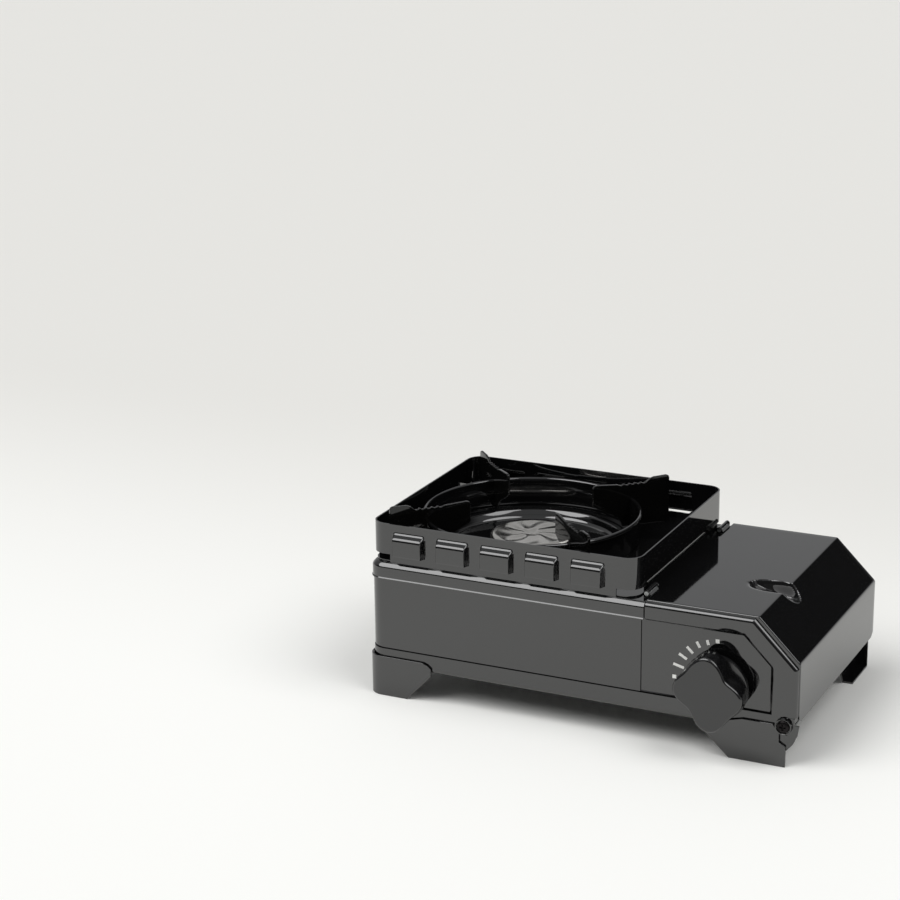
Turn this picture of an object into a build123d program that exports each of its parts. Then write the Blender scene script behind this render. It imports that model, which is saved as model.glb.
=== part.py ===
"""Portable butane cassette stove: one burner with a double windshield, canister bay under a hinged lid.

The frame: +X to the right (canister side), +Y to the back, +Z up, origin on the ground under the middle of
the overall size. All sizes are in millimetres.
"""
import math
import os

from build123d import *

# ---------------------------------------------------------------- driving dimensions
# overall size
width = 286.0
depth = 193.0
height = 122.0
knob_reach = 21.0            # knob face in front of the tray
rear_foot_reach = 11.5       # rear feet behind the body

# sheet metal
sheet = 1.0                  # pressed steel of body, lid and windshields
seam = 0.3                   # clearance between panels that overlap
corner_radius = 10.0         # upright corners of the body
tray_corner = 3.5            # the tray's corners under the lid
tray_bend = 1.8              # bend between its floor and its wall

# levels
ground_gap = 20.0            # underside of the tray
tray_height = 11.5
deck_top = 89.0              # upper face of the top plate
skirt_height = 10.5
bead_radius = 2.2
lid_rise = 1.5               # lid above the top plate
lid_drop = 7.5               # lower edge of the lid above the tray's underside
shoulder_run = 27.5          # chamfer of the lid, across
shoulder_fall = 24.0         # chamfer of the lid, down

# plan
bay_width = 98.7             # canister bay, from the top plate's edge to the outside of the lid
lid_gap = 1.2
lid_overhang = 8.0           # lid beyond the right side of the tray
foot_proud = 1.5

# raised frame of the front panel
rim_inset = 3.2
rim_proud = 1.5
recess_drop = 11.0           # below the top plate
recess_margin = 16.4         # from the outside of the lid
recess_corner_run = 17.1
recess_corner_fall = 15.0

# knob
knob_inset = 51.0            # axis of knob and canister from the outside of the lid
knob_rise = 25.5             # axis above the tray's underside
knob_mean = 19.9             # mean radius of the handle
knob_lobe = 2.5              # lobes above and scallops below the mean
knob_tall = 0.9         # upper and lower lobes longer than the side ones
knob_grip = 1.8              # scallops at the upper right and lower left deeper than the other two
knob_thickness = 17.0
knob_skirt_radius = 20.5     # round disc at the back of the handle
knob_skirt = 3.0             # its thickness
knob_neck_radius = 14.0
knob_gap = 0.6
spindle_radius = 3.0

# windshields and pot supports
shield_left_gap = 0.6        # set back from the sides of the body
shield_right_gap = 5.0
shield_front_gap = 3.0
shield_back_gap = 4.5
shield_height = 24.0
shield_radius = 10.0
notch_height = 4.0
louvre_count = 5
louvre_pitch = 30.15
louvre_width = 22.5
louvre_height = 15.5
louvre_depth = 3.4
louvre_first = 27.3          # middle of the first louvre from the left side of the wall
louvre_bottom = 3.5          # above the lower edge of the wall
burner_offset = 1.0          # burner behind the middle of the outer windshield
ring_margin = 7.5            # inner windshield inside the outer one, front and back
ring_left_gap = 7.9          # and on the left
ring_height = 20.0
dish_gap = 6.0               # drip dish inside the inner windshield
support_in = 27.0            # reach of the pot supports inside the inner windshield
support_margin = 8.6         # tips of the pot supports inside the outer windshield
support_plate = 1.6
support_mid_rise = 3.0       # serrated edge below the tip

# burner
cap_radius = 27.0
cap_rise = 5.0               # burner cap above the top plate
cap_height = 7.0
burner_radius = 20.0
burner_depth = 29.0          # foot of the burner below the top plate

# canister bay
canister_radius = 33.5
canister_lift = 1.0          # canister above the floor of the tray
collar_radius = 17.5         # bore that takes the canister's mounting cup
collar_depth = 5.0
socket_radius = 24.0
socket_setback = 41.5        # face of the socket from the front of the body
socket_thickness = 8.0
stem_radius = 2.6

scoop_setback = 44.5         # finger scoop of the lid from the front of the body

# hinge of the lid
hinge_offset_x = 1.5         # axis left of the top plate's edge
hinge_rise = 2.8             # axis above the top plate
knuckle_radius = 2.3
pin_radius = 1.3
pin_clearance = 0.05
knuckle_length = 13.0
hinge_rear_inset = 14.5      # middle of each knuckle from the back and from the front of the body
hinge_front_inset = 16.5
ear_thickness = 1.2

# gas and ignition
cam_radius = 7.0
cam_throw = 2.6              # eccentricity
cam_thickness = 4.0
knob_turn = 100.0            # degrees
plunger_gap = 0.3
plunger_radius = 2.0
plunger_clearance = 0.1
lead_radius = 1.2

# heat panel
heat_arm_setback = 105.5     # middle of the arm from the front of the body
heat_arm_half = 12.0
cradle_gap = 0.6
cradle_thickness = 1.2

# ---------------------------------------------------------------- places that follow
front_y = -depth / 2 + knob_reach
back_y = depth / 2 - rear_foot_reach
body_left = -width / 2 + foot_proud
lid_right = width / 2
split_x = lid_right - bay_width              # right edge of the top plate
tray_right = lid_right - lid_overhang
lid_wall_bottom = ground_gap + lid_drop
recess_top = deck_top - recess_drop
recess_right = lid_right - recess_margin
knob_x = lid_right - knob_inset
knob_z = ground_gap + knob_rise
shield_left = body_left + shield_left_gap
shield_right = split_x - shield_right_gap
shield_front = front_y + shield_front_gap
shield_back = back_y - shield_back_gap
shield_half = (shield_back - shield_front) / 2
ring_radius = shield_half - ring_margin
dish_radius = ring_radius - dish_gap
burner_x = shield_left + ring_left_gap + ring_radius
burner_y = shield_front + shield_half + burner_offset
support_inner = ring_radius - support_in
support_outer = (shield_half - support_margin) * math.sqrt(2)
cap_top = deck_top + cap_rise
burner_bottom = deck_top - burner_depth
canister_z = ground_gap + sheet + canister_lift + canister_radius
socket_face_y = front_y + socket_setback
hinge_rear_y = back_y - hinge_rear_inset
hinge_front_y = front_y + hinge_front_inset
heat_arm_y = front_y + heat_arm_setback
lid_top = deck_top + lid_rise
lid_left = split_x + lid_gap
shoulder_x = lid_right - shoulder_run
tray_top = ground_gap + tray_height
floor_top = ground_gap + sheet
wall_front = front_y + sheet                 # front face of the front panel
wall_inner = wall_front + sheet
wall_left = body_left + sheet
wall_back = back_y - sheet
deck_bottom = deck_top - sheet
hinge_x = split_x - hinge_offset_x
hinge_z = deck_top + hinge_rise
shield_top = deck_top + shield_height
partition_x = split_x + lid_gap
cradle_outer = canister_radius + cradle_gap + cradle_thickness
cam_y = wall_inner + 2.5
plunger_y = cam_y + cam_thickness / 2
socket_back_y = socket_face_y - socket_thickness
panel_bottom = ground_gap + tray_bend + seam
panel_top = deck_bottom - (bead_radius - sheet)


# ---------------------------------------------------------------- helpers
def block(x0, x1, y0, y1, z0, z1):
    """Box between two corners."""
    return Pos((x0 + x1) / 2, (y0 + y1) / 2, (z0 + z1) / 2) * Box(x1 - x0, y1 - y0, z1 - z0)


def rod(start, direction, radius, length):
    """Cylinder that starts at a point and runs along a direction."""
    plane = Plane(origin=start, z_dir=direction)
    return plane * Cylinder(radius, length, align=(Align.CENTER, Align.CENTER, Align.MIN))


def pipe(start, direction, outer, inner, length):
    """Round tube."""
    return rod(start, direction, outer, length) - rod(start, direction, inner, length)


def plate_xz(points, y0, y1):
    """Flat plate that stands across Y, outline given as x, z."""
    face = make_face(Polyline(*[(x, y0, z) for x, z in points], close=True))
    return extrude(face, amount=y1 - y0, dir=(0, 1, 0))


def plate_yz(points, x0, x1):
    """Flat plate that stands across X, outline given as y, z."""
    face = make_face(Polyline(*[(x0, y, z) for y, z in points], close=True))
    return extrude(face, amount=x1 - x0, dir=(1, 0, 0))


def plan(x0, x1, y0, y1, left_radius, right_radius):
    """Rectangle seen from above with rounded corners on the left and on the right."""
    face = Pos((x0 + x1) / 2, (y0 + y1) / 2) * Rectangle(x1 - x0, y1 - y0)
    face = fillet(face.vertices().sort_by(Axis.X)[:2], left_radius)
    return fillet(face.vertices().sort_by(Axis.X)[-2:], right_radius)


def rise(face, z0, z1):
    """Extrude a face seen from above between two levels."""
    return extrude(Pos(0, 0, z0) * face, amount=z1 - z0)


def ring_wall(x0, x1, y0, y1, left_radius, right_radius, thickness, z0, z1):
    """Upright sheet that follows a rounded rectangle."""
    outer = plan(x0, x1, y0, y1, left_radius, right_radius)
    inner = plan(x0 + thickness, x1 - thickness, y0 + thickness, y1 - thickness,
                 left_radius - thickness, right_radius - thickness)
    return rise(outer, z0, z1) - rise(inner, z0, z1)


def cap_section(inset, left, bottom):
    """Section of the lid across X and Z, drawn in by an inset: top, shoulder and side."""
    slope = math.atan2(shoulder_fall, shoulder_run)
    upper = shoulder_x - inset * math.tan(slope / 2)
    lower = lid_top - shoulder_fall - inset * math.tan((math.pi / 2 - slope) / 2)
    return [(left, bottom), (left, lid_top - inset), (upper, lid_top - inset),
            (lid_right - inset, lower), (lid_right - inset, bottom)]


def screws(places, direction, head_radius, head_height, shank_radius, shank_length):
    """Group of equal pan head screws, each seated under its head."""
    group = []
    back = [-c for c in direction]
    for place in places:
        group.append(rod(place, direction, head_radius, head_height) + rod(place, back, shank_radius, shank_length))
    return Compound(children=group)


parts = {}

# ---------------------------------------------------------------- base tray
# pressed pan: floor, low wall outside the panels, notch for the canister, slots for the heat panel and for air
outline = plan(body_left, tray_right, front_y, back_y, corner_radius, tray_corner)
pocket = plan(body_left + sheet, tray_right - sheet, front_y + sheet, back_y - sheet,
              corner_radius - sheet, tray_corner - sheet)
shell = rise(outline, ground_gap, tray_top)
shell = fillet(shell.faces().sort_by(Axis.Z)[0].edges(), tray_bend)
inside = rise(pocket, floor_top, tray_top)
tray = shell - fillet(inside.faces().sort_by(Axis.Z)[0].edges(), tray_bend - sheet)
dip = math.sqrt(cradle_outer ** 2 - (canister_z - floor_top) ** 2) + 1.2
tray -= block(knob_x - dip, knob_x + dip, heat_arm_y - heat_arm_half - 1, heat_arm_y + heat_arm_half + 1,
              ground_gap, floor_top)
tray -= block(knob_x - canister_radius * 0.8, knob_x + canister_radius * 0.8, back_y - 2 * sheet, back_y,
              floor_top, tray_top)
vent_count = 5
vent_pitch = 20.0
vent_width = 5.0
for row in range(vent_count):
    vent_y = burner_y + (row - (vent_count - 1) / 2) * vent_pitch
    vent = Pos(burner_x, vent_y) * SlotOverall(dish_radius, vent_width)
    tray -= rise(vent, ground_gap, floor_top)
parts["base_tray"] = tray

# ---------------------------------------------------------------- front panel
# plain on the left, where it wraps the corner; a raised frame follows the lid on the right
left_wall = ring_wall(wall_left, tray_right, wall_front, wall_back, corner_radius - sheet, corner_radius,
                      sheet, panel_bottom, panel_top)
panel_seam_y = back_y - 25.0
left_wrap = left_wall & block(wall_left, wall_left + corner_radius, wall_front, panel_seam_y, 0, height)
section = cap_section(rim_inset, split_x - rim_inset, panel_bottom)
rim_top = section[1][1]
front_points = [(wall_left + corner_radius, panel_bottom), (wall_left + corner_radius, panel_top),
                (split_x - rim_inset, panel_top), (split_x - rim_inset, rim_top)] + section[2:]
front = plate_xz(front_points, wall_front, wall_inner)
frame_face = plate_xz(cap_section(rim_inset, split_x - rim_inset + 1.2, tray_top), wall_front - rim_proud, wall_front)
recess = plate_xz([(split_x - 10, tray_top - 1), (split_x - 10, recess_top),
                   (recess_right - recess_corner_run, recess_top),
                   (recess_right, recess_top - recess_corner_fall), (recess_right, tray_top - 1)],
                  wall_front - rim_proud, wall_front)
frame_face -= recess
flange_depth = 7.0
flange = plate_xz(cap_section(rim_inset, split_x + 3, tray_top), wall_inner, wall_inner + flange_depth)
flange -= plate_xz(cap_section(rim_inset + sheet, split_x - 10, panel_bottom - 1), wall_inner,
                   wall_inner + flange_depth)
front -= block(tray_right - tray_corner - sheet, lid_right, wall_front, wall_inner, 0, tray_top)
panel = left_wrap + front + frame_face + flange
spindle_hole = rod((knob_x, wall_front - rim_proud, knob_z), (0, 1, 0), spindle_radius + 0.8, 8)
parts["front_panel"] = panel - spindle_hole

# ---------------------------------------------------------------- rear panel
# closes the burner box at the back; the canister bay stays open
rear = left_wall & block(wall_left, split_x, panel_seam_y, wall_back, 0, height)
for row in range(4):
    slot = block(burner_x - 35, burner_x + 35, wall_back - 2 * sheet, wall_back + sheet,
                 tray_top + 8 + row * 9, tray_top + 11 + row * 9)
    rear -= slot
parts["rear_panel"] = rear

# ---------------------------------------------------------------- partition
# keeps the burner's heat off the canister; holes for the mixing tube, the igniter lead and the heat panel
regulator_depth = 19.0
nozzle_start = (partition_x + 21, socket_back_y - regulator_depth / 2, burner_bottom + 9.5)
tube_run = (burner_x - nozzle_start[0], burner_y - nozzle_start[1])
tube_span = math.hypot(*tube_run)
tube_dir = (tube_run[0] / tube_span, tube_run[1] / tube_span, 0)
tube_outer = 8.0
tube_wall = 1.0
nozzle_length = 12.0
tube_start = tuple(nozzle_start[i] + tube_dir[i] * (nozzle_length + 1) for i in range(3))
tube_hole_y = nozzle_start[1] + (partition_x - nozzle_start[0]) / tube_dir[0] * tube_dir[1]
lead_z = knob_z - 3.0
partition = block(partition_x, partition_x + sheet, wall_inner, wall_back - sheet, floor_top, deck_bottom)
partition += block(partition_x - 8, partition_x, wall_inner, wall_back - sheet, floor_top, floor_top + sheet)
partition -= rod((partition_x - 8, tube_hole_y, nozzle_start[2]), (1, 0, 0), tube_outer + 3, 16)
partition -= rod((partition_x - 8, plunger_y, lead_z), (1, 0, 0), lead_radius + 0.8, 16)
partition -= block(partition_x - 9, partition_x + 2, heat_arm_y - heat_arm_half - 1, heat_arm_y + heat_arm_half + 1,
                   floor_top, floor_top + 6)
parts["partition"] = partition

# ---------------------------------------------------------------- top plate
# inverted pan with a rolled front edge, a round opening over the burner and lanced ears for the hinge pins
deck_out = seam + sheet
deck_left = wall_left - deck_out
deck_front = wall_front - deck_out
deck_back = wall_back + deck_out
deck_plan = plan(deck_left, split_x, deck_front, deck_back, corner_radius + seam, 1.5)
deck_pocket = plan(deck_left + sheet, split_x + 2 * sheet, deck_front + sheet, deck_back - sheet,
                   corner_radius + seam - sheet, 0.5)
deck = rise(deck_plan, deck_top - skirt_height, deck_top)
top_edges = deck.faces().sort_by(Axis.Z)[-1].edges().filter_by(lambda e: e.center().X < split_x - 0.5)
deck = fillet(top_edges, bead_radius)
hollow = rise(deck_pocket, deck_top - skirt_height, deck_bottom)
hollow = fillet(hollow.faces().sort_by(Axis.Z)[-1].edges(), bead_radius - sheet)
deck -= hollow
deck -= block(split_x - 3.2, split_x + 3, deck_front - 1, deck_front + 6, 0, deck_bottom)
deck -= block(split_x - 3.2, split_x + 3, deck_back - 6, deck_back + 1, 0, deck_bottom)
opening_radius = dish_radius - 2.5
deck -= rod((burner_x, burner_y, deck_bottom - 1), (0, 0, 1), opening_radius, 4)
ear_height = hinge_rise + knuckle_radius
for middle in (hinge_front_y, hinge_rear_y):
    for side in (-1, 1):
        ear_y = middle + side * (knuckle_length / 2 + 0.3 + ear_thickness / 2)
        ear = block(hinge_x - knuckle_radius, hinge_x + split_x - hinge_x, ear_y - ear_thickness / 2,
                    ear_y + ear_thickness / 2, deck_top - sheet / 2, deck_top + ear_height)
        upright = ear.edges().filter_by(Axis.Y).sort_by(Axis.Z)[-2:]
        deck += fillet(upright, 1.6)
    hole_length = knuckle_length + 4 * ear_thickness
    deck -= rod((hinge_x, middle - hole_length / 2, hinge_z), (0, 1, 0), pin_radius, hole_length)
parts["top_plate"] = deck

# ---------------------------------------------------------------- hinge pins
pin_length = knuckle_length + 2 * ear_thickness + 1.4
pins = []
for middle in (hinge_front_y, hinge_rear_y):
    pins.append(rod((hinge_x, middle - pin_length / 2, hinge_z), (0, 1, 0), pin_radius, pin_length))
parts["hinge_pins"] = Compound(children=pins)

# ---------------------------------------------------------------- canister lid
# one folded sheet: top, shoulder and side wall, with a turned lip in front and a scoop for the fingers
lip = 2.9
lid_front = wall_front - rim_proud - seam
lid_back = back_y - sheet
skin = plate_xz(cap_section(0, lid_left, lid_wall_bottom), lid_front, lid_back)
skin -= plate_xz(cap_section(sheet, lid_left - 5, lid_wall_bottom - 5), lid_front + sheet, lid_back - sheet)
skin -= plate_xz(cap_section(lip, lid_left - 5, lid_wall_bottom - 5), lid_front - 1, lid_back + 1)
foot_round = 6.0
for end_y in (lid_front, lid_back):
    inward = 1 if end_y == lid_front else -1
    curve = rod((lid_right - 4, end_y + inward * foot_round, lid_wall_bottom + foot_round), (1, 0, 0), foot_round, 6)
    y_low, y_high = sorted((end_y - inward, end_y + inward * foot_round))
    waste = block(lid_right - 4, lid_right + 1, y_low, y_high, lid_wall_bottom - 1, lid_wall_bottom + foot_round)
    skin -= waste - curve
scoop_left = knob_x
scoop_right = lid_right - 20.5
scoop_width = 19.0
scoop_front_y = front_y + scoop_setback
scoop_back_y = scoop_front_y + scoop_width
scoop_sag = 4.0
shoulder_drop = (scoop_right - shoulder_x) * shoulder_fall / shoulder_run
chord = math.hypot(scoop_right - scoop_left, shoulder_drop)
scoop_radius = ((chord / 2) ** 2 + scoop_sag ** 2) / (2 * scoop_sag)
normal = (shoulder_drop / chord, (scoop_right - scoop_left) / chord)
middle_x = (scoop_left + scoop_right) / 2
middle_z = lid_top - shoulder_drop / 2
scoop_x = middle_x + (scoop_radius - scoop_sag) * normal[0]
scoop_z = middle_z + (scoop_radius - scoop_sag) * normal[1]
scoop_floor = middle_z - scoop_sag * normal[1]


def scoop(grow):
    """Space of the finger scoop: a shallow cylinder cut off by a ramp towards the front."""
    bowl = rod((scoop_x, scoop_front_y - 5, scoop_z), (0, 1, 0), scoop_radius + grow,
               scoop_back_y - scoop_front_y + 5 + grow)
    ramp = plate_yz([(scoop_front_y - grow, lid_top + 2), (scoop_front_y - grow, lid_top - 7 - grow),
                     (scoop_back_y - 8, scoop_floor - grow), (scoop_back_y + grow, scoop_floor - 3 - grow),
                     (scoop_back_y + grow, lid_top + 2)], scoop_left - 5, scoop_right + 5)
    return bowl & ramp


dent = scoop(sheet) & plate_xz(cap_section(0.02, lid_left + 1, lid_wall_bottom), lid_front + 5, lid_back - 5)
lid = (skin + dent) - scoop(0)
parts["canister_lid"] = lid

# ---------------------------------------------------------------- hinge straps
# knuckles rolled from straps that are spot welded under the edge of the lid
straps = []
for middle in (hinge_front_y, hinge_rear_y):
    y0 = middle - knuckle_length / 2
    y1 = middle + knuckle_length / 2
    knuckle = rod((hinge_x, y0, hinge_z), (0, 1, 0), knuckle_radius, knuckle_length)
    tongue = block(split_x + seam, lid_left + 12, y0, y1, lid_top - 2 * sheet, lid_top - sheet)
    riser = block(split_x + seam, lid_left - 0.1, y0, y1, lid_top - 2 * sheet, hinge_z)
    strap = knuckle + tongue + riser
    strap -= rod((hinge_x, y0 - 1, hinge_z), (0, 1, 0), pin_radius + pin_clearance, knuckle_length + 2)
    straps.append(strap)
parts["hinge_straps"] = Compound(children=straps)

# ---------------------------------------------------------------- feet
# front left: a strip that wraps the rounded corner, with slanted ends and a turned-in sole
foot_top = tray_top - 5.0
sole = 1.2
band = ring_wall(body_left - foot_proud, tray_right, front_y - foot_proud, back_y,
                 corner_radius + foot_proud, corner_radius, foot_proud, 0, foot_top)
toe_x = body_left + 44.0
toe_profile = [(-width, 0), (toe_x - 17, 0), (toe_x, 18.0), (toe_x - 1, 22.5), (toe_x - 4, foot_top - 0.8),
               (toe_x - 8, foot_top), (-width, foot_top)]
front_arm = band & plate_xz(toe_profile, front_y - foot_proud, front_y + corner_radius)
heel_y = front_y + 37.5
heel_profile = [(-depth, 0), (heel_y - 15, 0), (heel_y, 18.0), (heel_y, foot_top - 2), (heel_y - 2, foot_top),
                (-depth, foot_top)]
side_arm = band & plate_yz(heel_profile, -width / 2, -width / 2 + corner_radius)
sole_plan = plan(body_left - foot_proud + 0.5, toe_x - 19, front_y - foot_proud + 0.5, heel_y - 17, 8, 2)
top_flange = plan(body_left + corner_radius / 2, toe_x - 8, front_y + 3, heel_y - 8, 6, 4)
inner_web = block(toe_x - 30, toe_x - 28.8, front_y - foot_proud + 0.5, heel_y - 17, 0, ground_gap)
foot = front_arm + side_arm + rise(sole_plan, 0, sole) + inner_web
foot += rise(top_flange, ground_gap - sole, ground_gap)
parts["foot_front_left"] = foot

# front right: a flat plate with a slanted edge, a notch and a boss, backed by a gusset at the corner
plate_left = knob_x + 7.8
plate_right = tray_right - 0.2
toe_slope = 38.0             # the upper edge falls away from here on
toe_width = 55.0
slant_left = plate_right - toe_width
boss_x = tray_right - 1.7
boss_z = foot_top - 0.5
boss_radius = 5.2
plate_outline = [(plate_left, 0), (plate_right, 0), (plate_right, 13.0), (plate_right - 4.2, 15.5),
                 (plate_right - 4.2, 21.0), (plate_right - 8, foot_top), (plate_right - 27, foot_top),
                 (plate_right - toe_slope, foot_top - 2.8), (slant_left + 3, ground_gap + 0.5),
                 (slant_left, ground_gap - 1.5)]
toe = plate_xz(plate_outline, front_y - foot_proud, front_y)
gusset_neck = lid_right - lip - 0.6
gusset = [(tray_right + seam, tray_top - 0.3), (gusset_neck, tray_top - 0.3), (gusset_neck, lid_wall_bottom - 0.5),
          (lid_right - 0.5, lid_wall_bottom - 0.5),
          (lid_right - 1.6, 20.5), (lid_right - 4.3, 14.5), (plate_right - 0.4, 9.6), (tray_right - 12, 9.6),
          (tray_right - 12, ground_gap - 0.01), (tray_right + seam, ground_gap - 0.01)]
toe += plate_xz(gusset, front_y, front_y + sheet)
toe_depth = 30.5
toe_back = front_y + toe_depth
web_x = plate_right - 19.0
toe += block(web_x - sheet, web_x, front_y, toe_back, 0, ground_gap)
toe -= plate_yz([(toe_back + 1, -1), (toe_back + 1, 14), (toe_back - 7, -1)], web_x - 2, web_x + 1)
toe += block(plate_left + 2, plate_right, front_y - foot_proud + 0.5, front_y + 9, 0, sole)
toe += block(plate_right - 25, plate_right, front_y + 1, toe_back - 3, ground_gap - sole, ground_gap)
toe += rod((boss_x, front_y - foot_proud - 1.2, boss_z), (0, 1, 0), boss_radius, foot_proud + 1.2)
screw_seat = 0.8
toe -= rod((boss_x, front_y - foot_proud - 1.2, boss_z), (0, 1, 0), boss_radius - 1.2, screw_seat)
boss_screw_y = front_y - foot_proud - 1.2 + screw_seat
toe -= rod((boss_x, boss_screw_y, boss_z), (0, 1, 0), 1.6, 12)
parts["foot_front_right"] = toe

# rear feet: angle brackets that reach out behind the body
rear_top = ground_gap - 1.5
bracket_start = back_y - 29.0
side_profile = [(bracket_start + 7, 0), (depth / 2, 0), (depth / 2, rear_top), (back_y + 1, ground_gap),
                (bracket_start, ground_gap), (bracket_start, ground_gap / 2)]
for name, side in (("foot_rear_right", 1), ("foot_rear_left", -1)):
    x_near, x_far = sorted((side * (tray_right - 7), side * (tray_right - 7 + sheet)))
    web = plate_yz(side_profile, x_near, x_far)
    x_near, x_far = sorted((side * (tray_right - 7), side * tray_right))
    web += block(x_near, x_far, depth / 2 - sheet, depth / 2, 0, rear_top)
    web += block(x_near, x_far, bracket_start + 7, depth / 2, 0, sole)
    x_near, x_far = sorted((side * (tray_right - 25), side * (tray_right - 6.5)))
    web += block(x_near, x_far, bracket_start + 2, back_y - 2, ground_gap - sole, ground_gap)
    parts[name] = web

# screws that hold the feet to the tray, heads below
foot_screw_places = [(toe_x - 22, front_y + 12, ground_gap - sole), (body_left + 8.5, heel_y - 18, ground_gap - sole),
                     (plate_right - 14, front_y + 20, ground_gap - sole)]
foot_screw_places += [(side * (tray_right - 19), bracket_start + 14, ground_gap - sole) for side in (1, -1)]
screw_radius = 1.5
foot_screws = screws(foot_screw_places, (0, 0, -1), 3.2, 1.8, screw_radius, sole + sheet + 2.5)
boss_screw = rod((boss_x, boss_screw_y, boss_z), (0, -1, 0), 3.2, 1.5)
boss_screw += rod((boss_x, boss_screw_y, boss_z), (0, 1, 0), screw_radius, 6)
parts["foot_screws"] = Compound(children=list(foot_screws.children) + [boss_screw])
for name in ("base_tray", "foot_front_left", "foot_front_right", "foot_rear_left", "foot_rear_right"):
    for x, y, z in foot_screw_places:
        parts[name] -= rod((x, y, z - 0.5), (0, 0, 1), screw_radius + 0.05, sole + sheet + 1)
parts["front_panel"] -= rod((boss_x, wall_front - 1, boss_z), (0, 1, 0), screw_radius + 0.05, 4)
parts["base_tray"] -= rod((boss_x, front_y - 1, boss_z), (0, 1, 0), screw_radius + 0.05, 14)

# ---------------------------------------------------------------- knob and spindle
# four lobes; the handle is solid moulded plastic with a round neck behind it
lobe_points = []
lobe_steps = 48
for step in range(lobe_steps):
    turn = 2 * math.pi * step / lobe_steps
    reach = knob_mean + knob_lobe * math.cos(4 * turn) - knob_tall * math.cos(2 * turn)
    reach -= knob_grip * math.sin(2 * turn)
    lobe_points.append((knob_x + reach * math.cos(turn), -depth / 2, knob_z + reach * math.sin(turn)))
knob_face = make_face(Spline(*lobe_points, periodic=True))
handle = extrude(knob_face, amount=knob_thickness, dir=(0, 1, 0))
handle = chamfer(handle.faces().sort_by(Axis.Y)[0].edges(), 1.2)
neck_start = -depth / 2 + knob_thickness
handle += rod((knob_x, neck_start, knob_z), (0, -1, 0), knob_skirt_radius, knob_skirt)
handle += rod((knob_x, neck_start, knob_z), (0, 1, 0), knob_neck_radius, wall_front - knob_gap - neck_start)
spindle_start = -depth / 2 + 7
handle -= rod((knob_x, spindle_start, knob_z), (0, 1, 0), spindle_radius, 40)
parts["control_knob"] = handle

regulator_front = socket_back_y - regulator_depth
spindle_seat = 6.0
spindle_length = regulator_front + spindle_seat - 0.3 - spindle_start
parts["valve_spindle"] = rod((knob_x, spindle_start, knob_z), (0, 1, 0), spindle_radius, spindle_length)

# eccentric cam on the spindle; half the turn lies on each side of its dead centre
cam_angle = math.radians(90 - knob_turn / 2)
cam_start_x = knob_x + cam_throw * math.cos(cam_angle)
cam = rod((cam_start_x, cam_y, knob_z + cam_throw * math.sin(cam_angle)), (0, 1, 0), cam_radius, cam_thickness)
cam -= rod((knob_x, cam_y - 1, knob_z), (0, 1, 0), spindle_radius, cam_thickness + 2)
parts["ignition_cam"] = cam

# ---------------------------------------------------------------- igniter
plunger_tip = cam_start_x - cam_radius - plunger_gap
plunger_travel = 2 * cam_throw * math.cos(cam_angle)
tip_thickness = 2.5
igniter_right = plunger_tip - tip_thickness - plunger_travel - 1.0
igniter_left = partition_x + sheet + 11.0
igniter_top = knob_z + 6.5
igniter_bottom = knob_z - 6.5
plunger_bore_depth = 16.0
igniter_back = plunger_y + 4.6
unit = block(igniter_left, igniter_right, wall_inner, igniter_back, igniter_bottom, igniter_top)
unit = fillet(unit.edges().filter_by(Axis.X), 1.5)
unit -= rod((igniter_right + 1, plunger_y, knob_z), (-1, 0, 0), plunger_radius + plunger_clearance,
            plunger_bore_depth + 1)
parts["igniter_unit"] = unit

rod_length = plunger_tip - igniter_right + plunger_bore_depth - plunger_travel - 1.0
plunger = rod((plunger_tip, plunger_y, knob_z), (-1, 0, 0), plunger_radius, rod_length)
plunger += rod((plunger_tip, plunger_y, knob_z), (-1, 0, 0), plunger_radius + 1.6, tip_thickness)
parts["igniter_plunger"] = plunger

# ---------------------------------------------------------------- regulator
regulator_half = 17.0
regulator_low = canister_z - 18.5
regulator_high = canister_z + 18.5
regulator = block(knob_x - regulator_half, knob_x + regulator_half, regulator_front, socket_back_y,
                  regulator_low, regulator_high)
regulator = fillet(regulator.edges().filter_by(Axis.Y), 5)
regulator -= rod((knob_x, regulator_front, knob_z), (0, 1, 0), spindle_radius + 0.1, spindle_seat)
outlet_reach = knob_x - regulator_half - nozzle_start[0]
outlet = rod(nozzle_start, tuple(-c for c in tube_dir), 5.5, outlet_reach + 8)
regulator += outlet - block(knob_x - 5, knob_x + 30, regulator_front - 10, socket_face_y, 0, deck_top)
regulator -= rod((knob_x, socket_back_y + 1, canister_z), (0, -1, 0), stem_radius, 8)
nozzle_seat = 4.0
regulator -= rod(nozzle_start, tuple(-c for c in tube_dir), 2.5, nozzle_seat)
regulator_base = block(knob_x - 12, knob_x + 12, regulator_front + 2, socket_back_y - 2, floor_top, regulator_low)
parts["regulator_body"] = regulator + regulator_base

cap = rod((knob_x + regulator_half, (regulator_front + socket_back_y) / 2, canister_z), (1, 0, 0),
          regulator_depth / 2 - 1, 6)
cap = fillet(cap.faces().sort_by(Axis.X)[-1].edges(), 2)
parts["regulator_cap"] = cap

nozzle = rod(nozzle_start, tube_dir, 4.0, 5) + rod(nozzle_start, tube_dir, 2.2, nozzle_length)
nozzle += rod(nozzle_start, tuple(-c for c in tube_dir), 2.45, nozzle_seat - 0.2)
parts["jet_nozzle"] = nozzle

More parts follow.
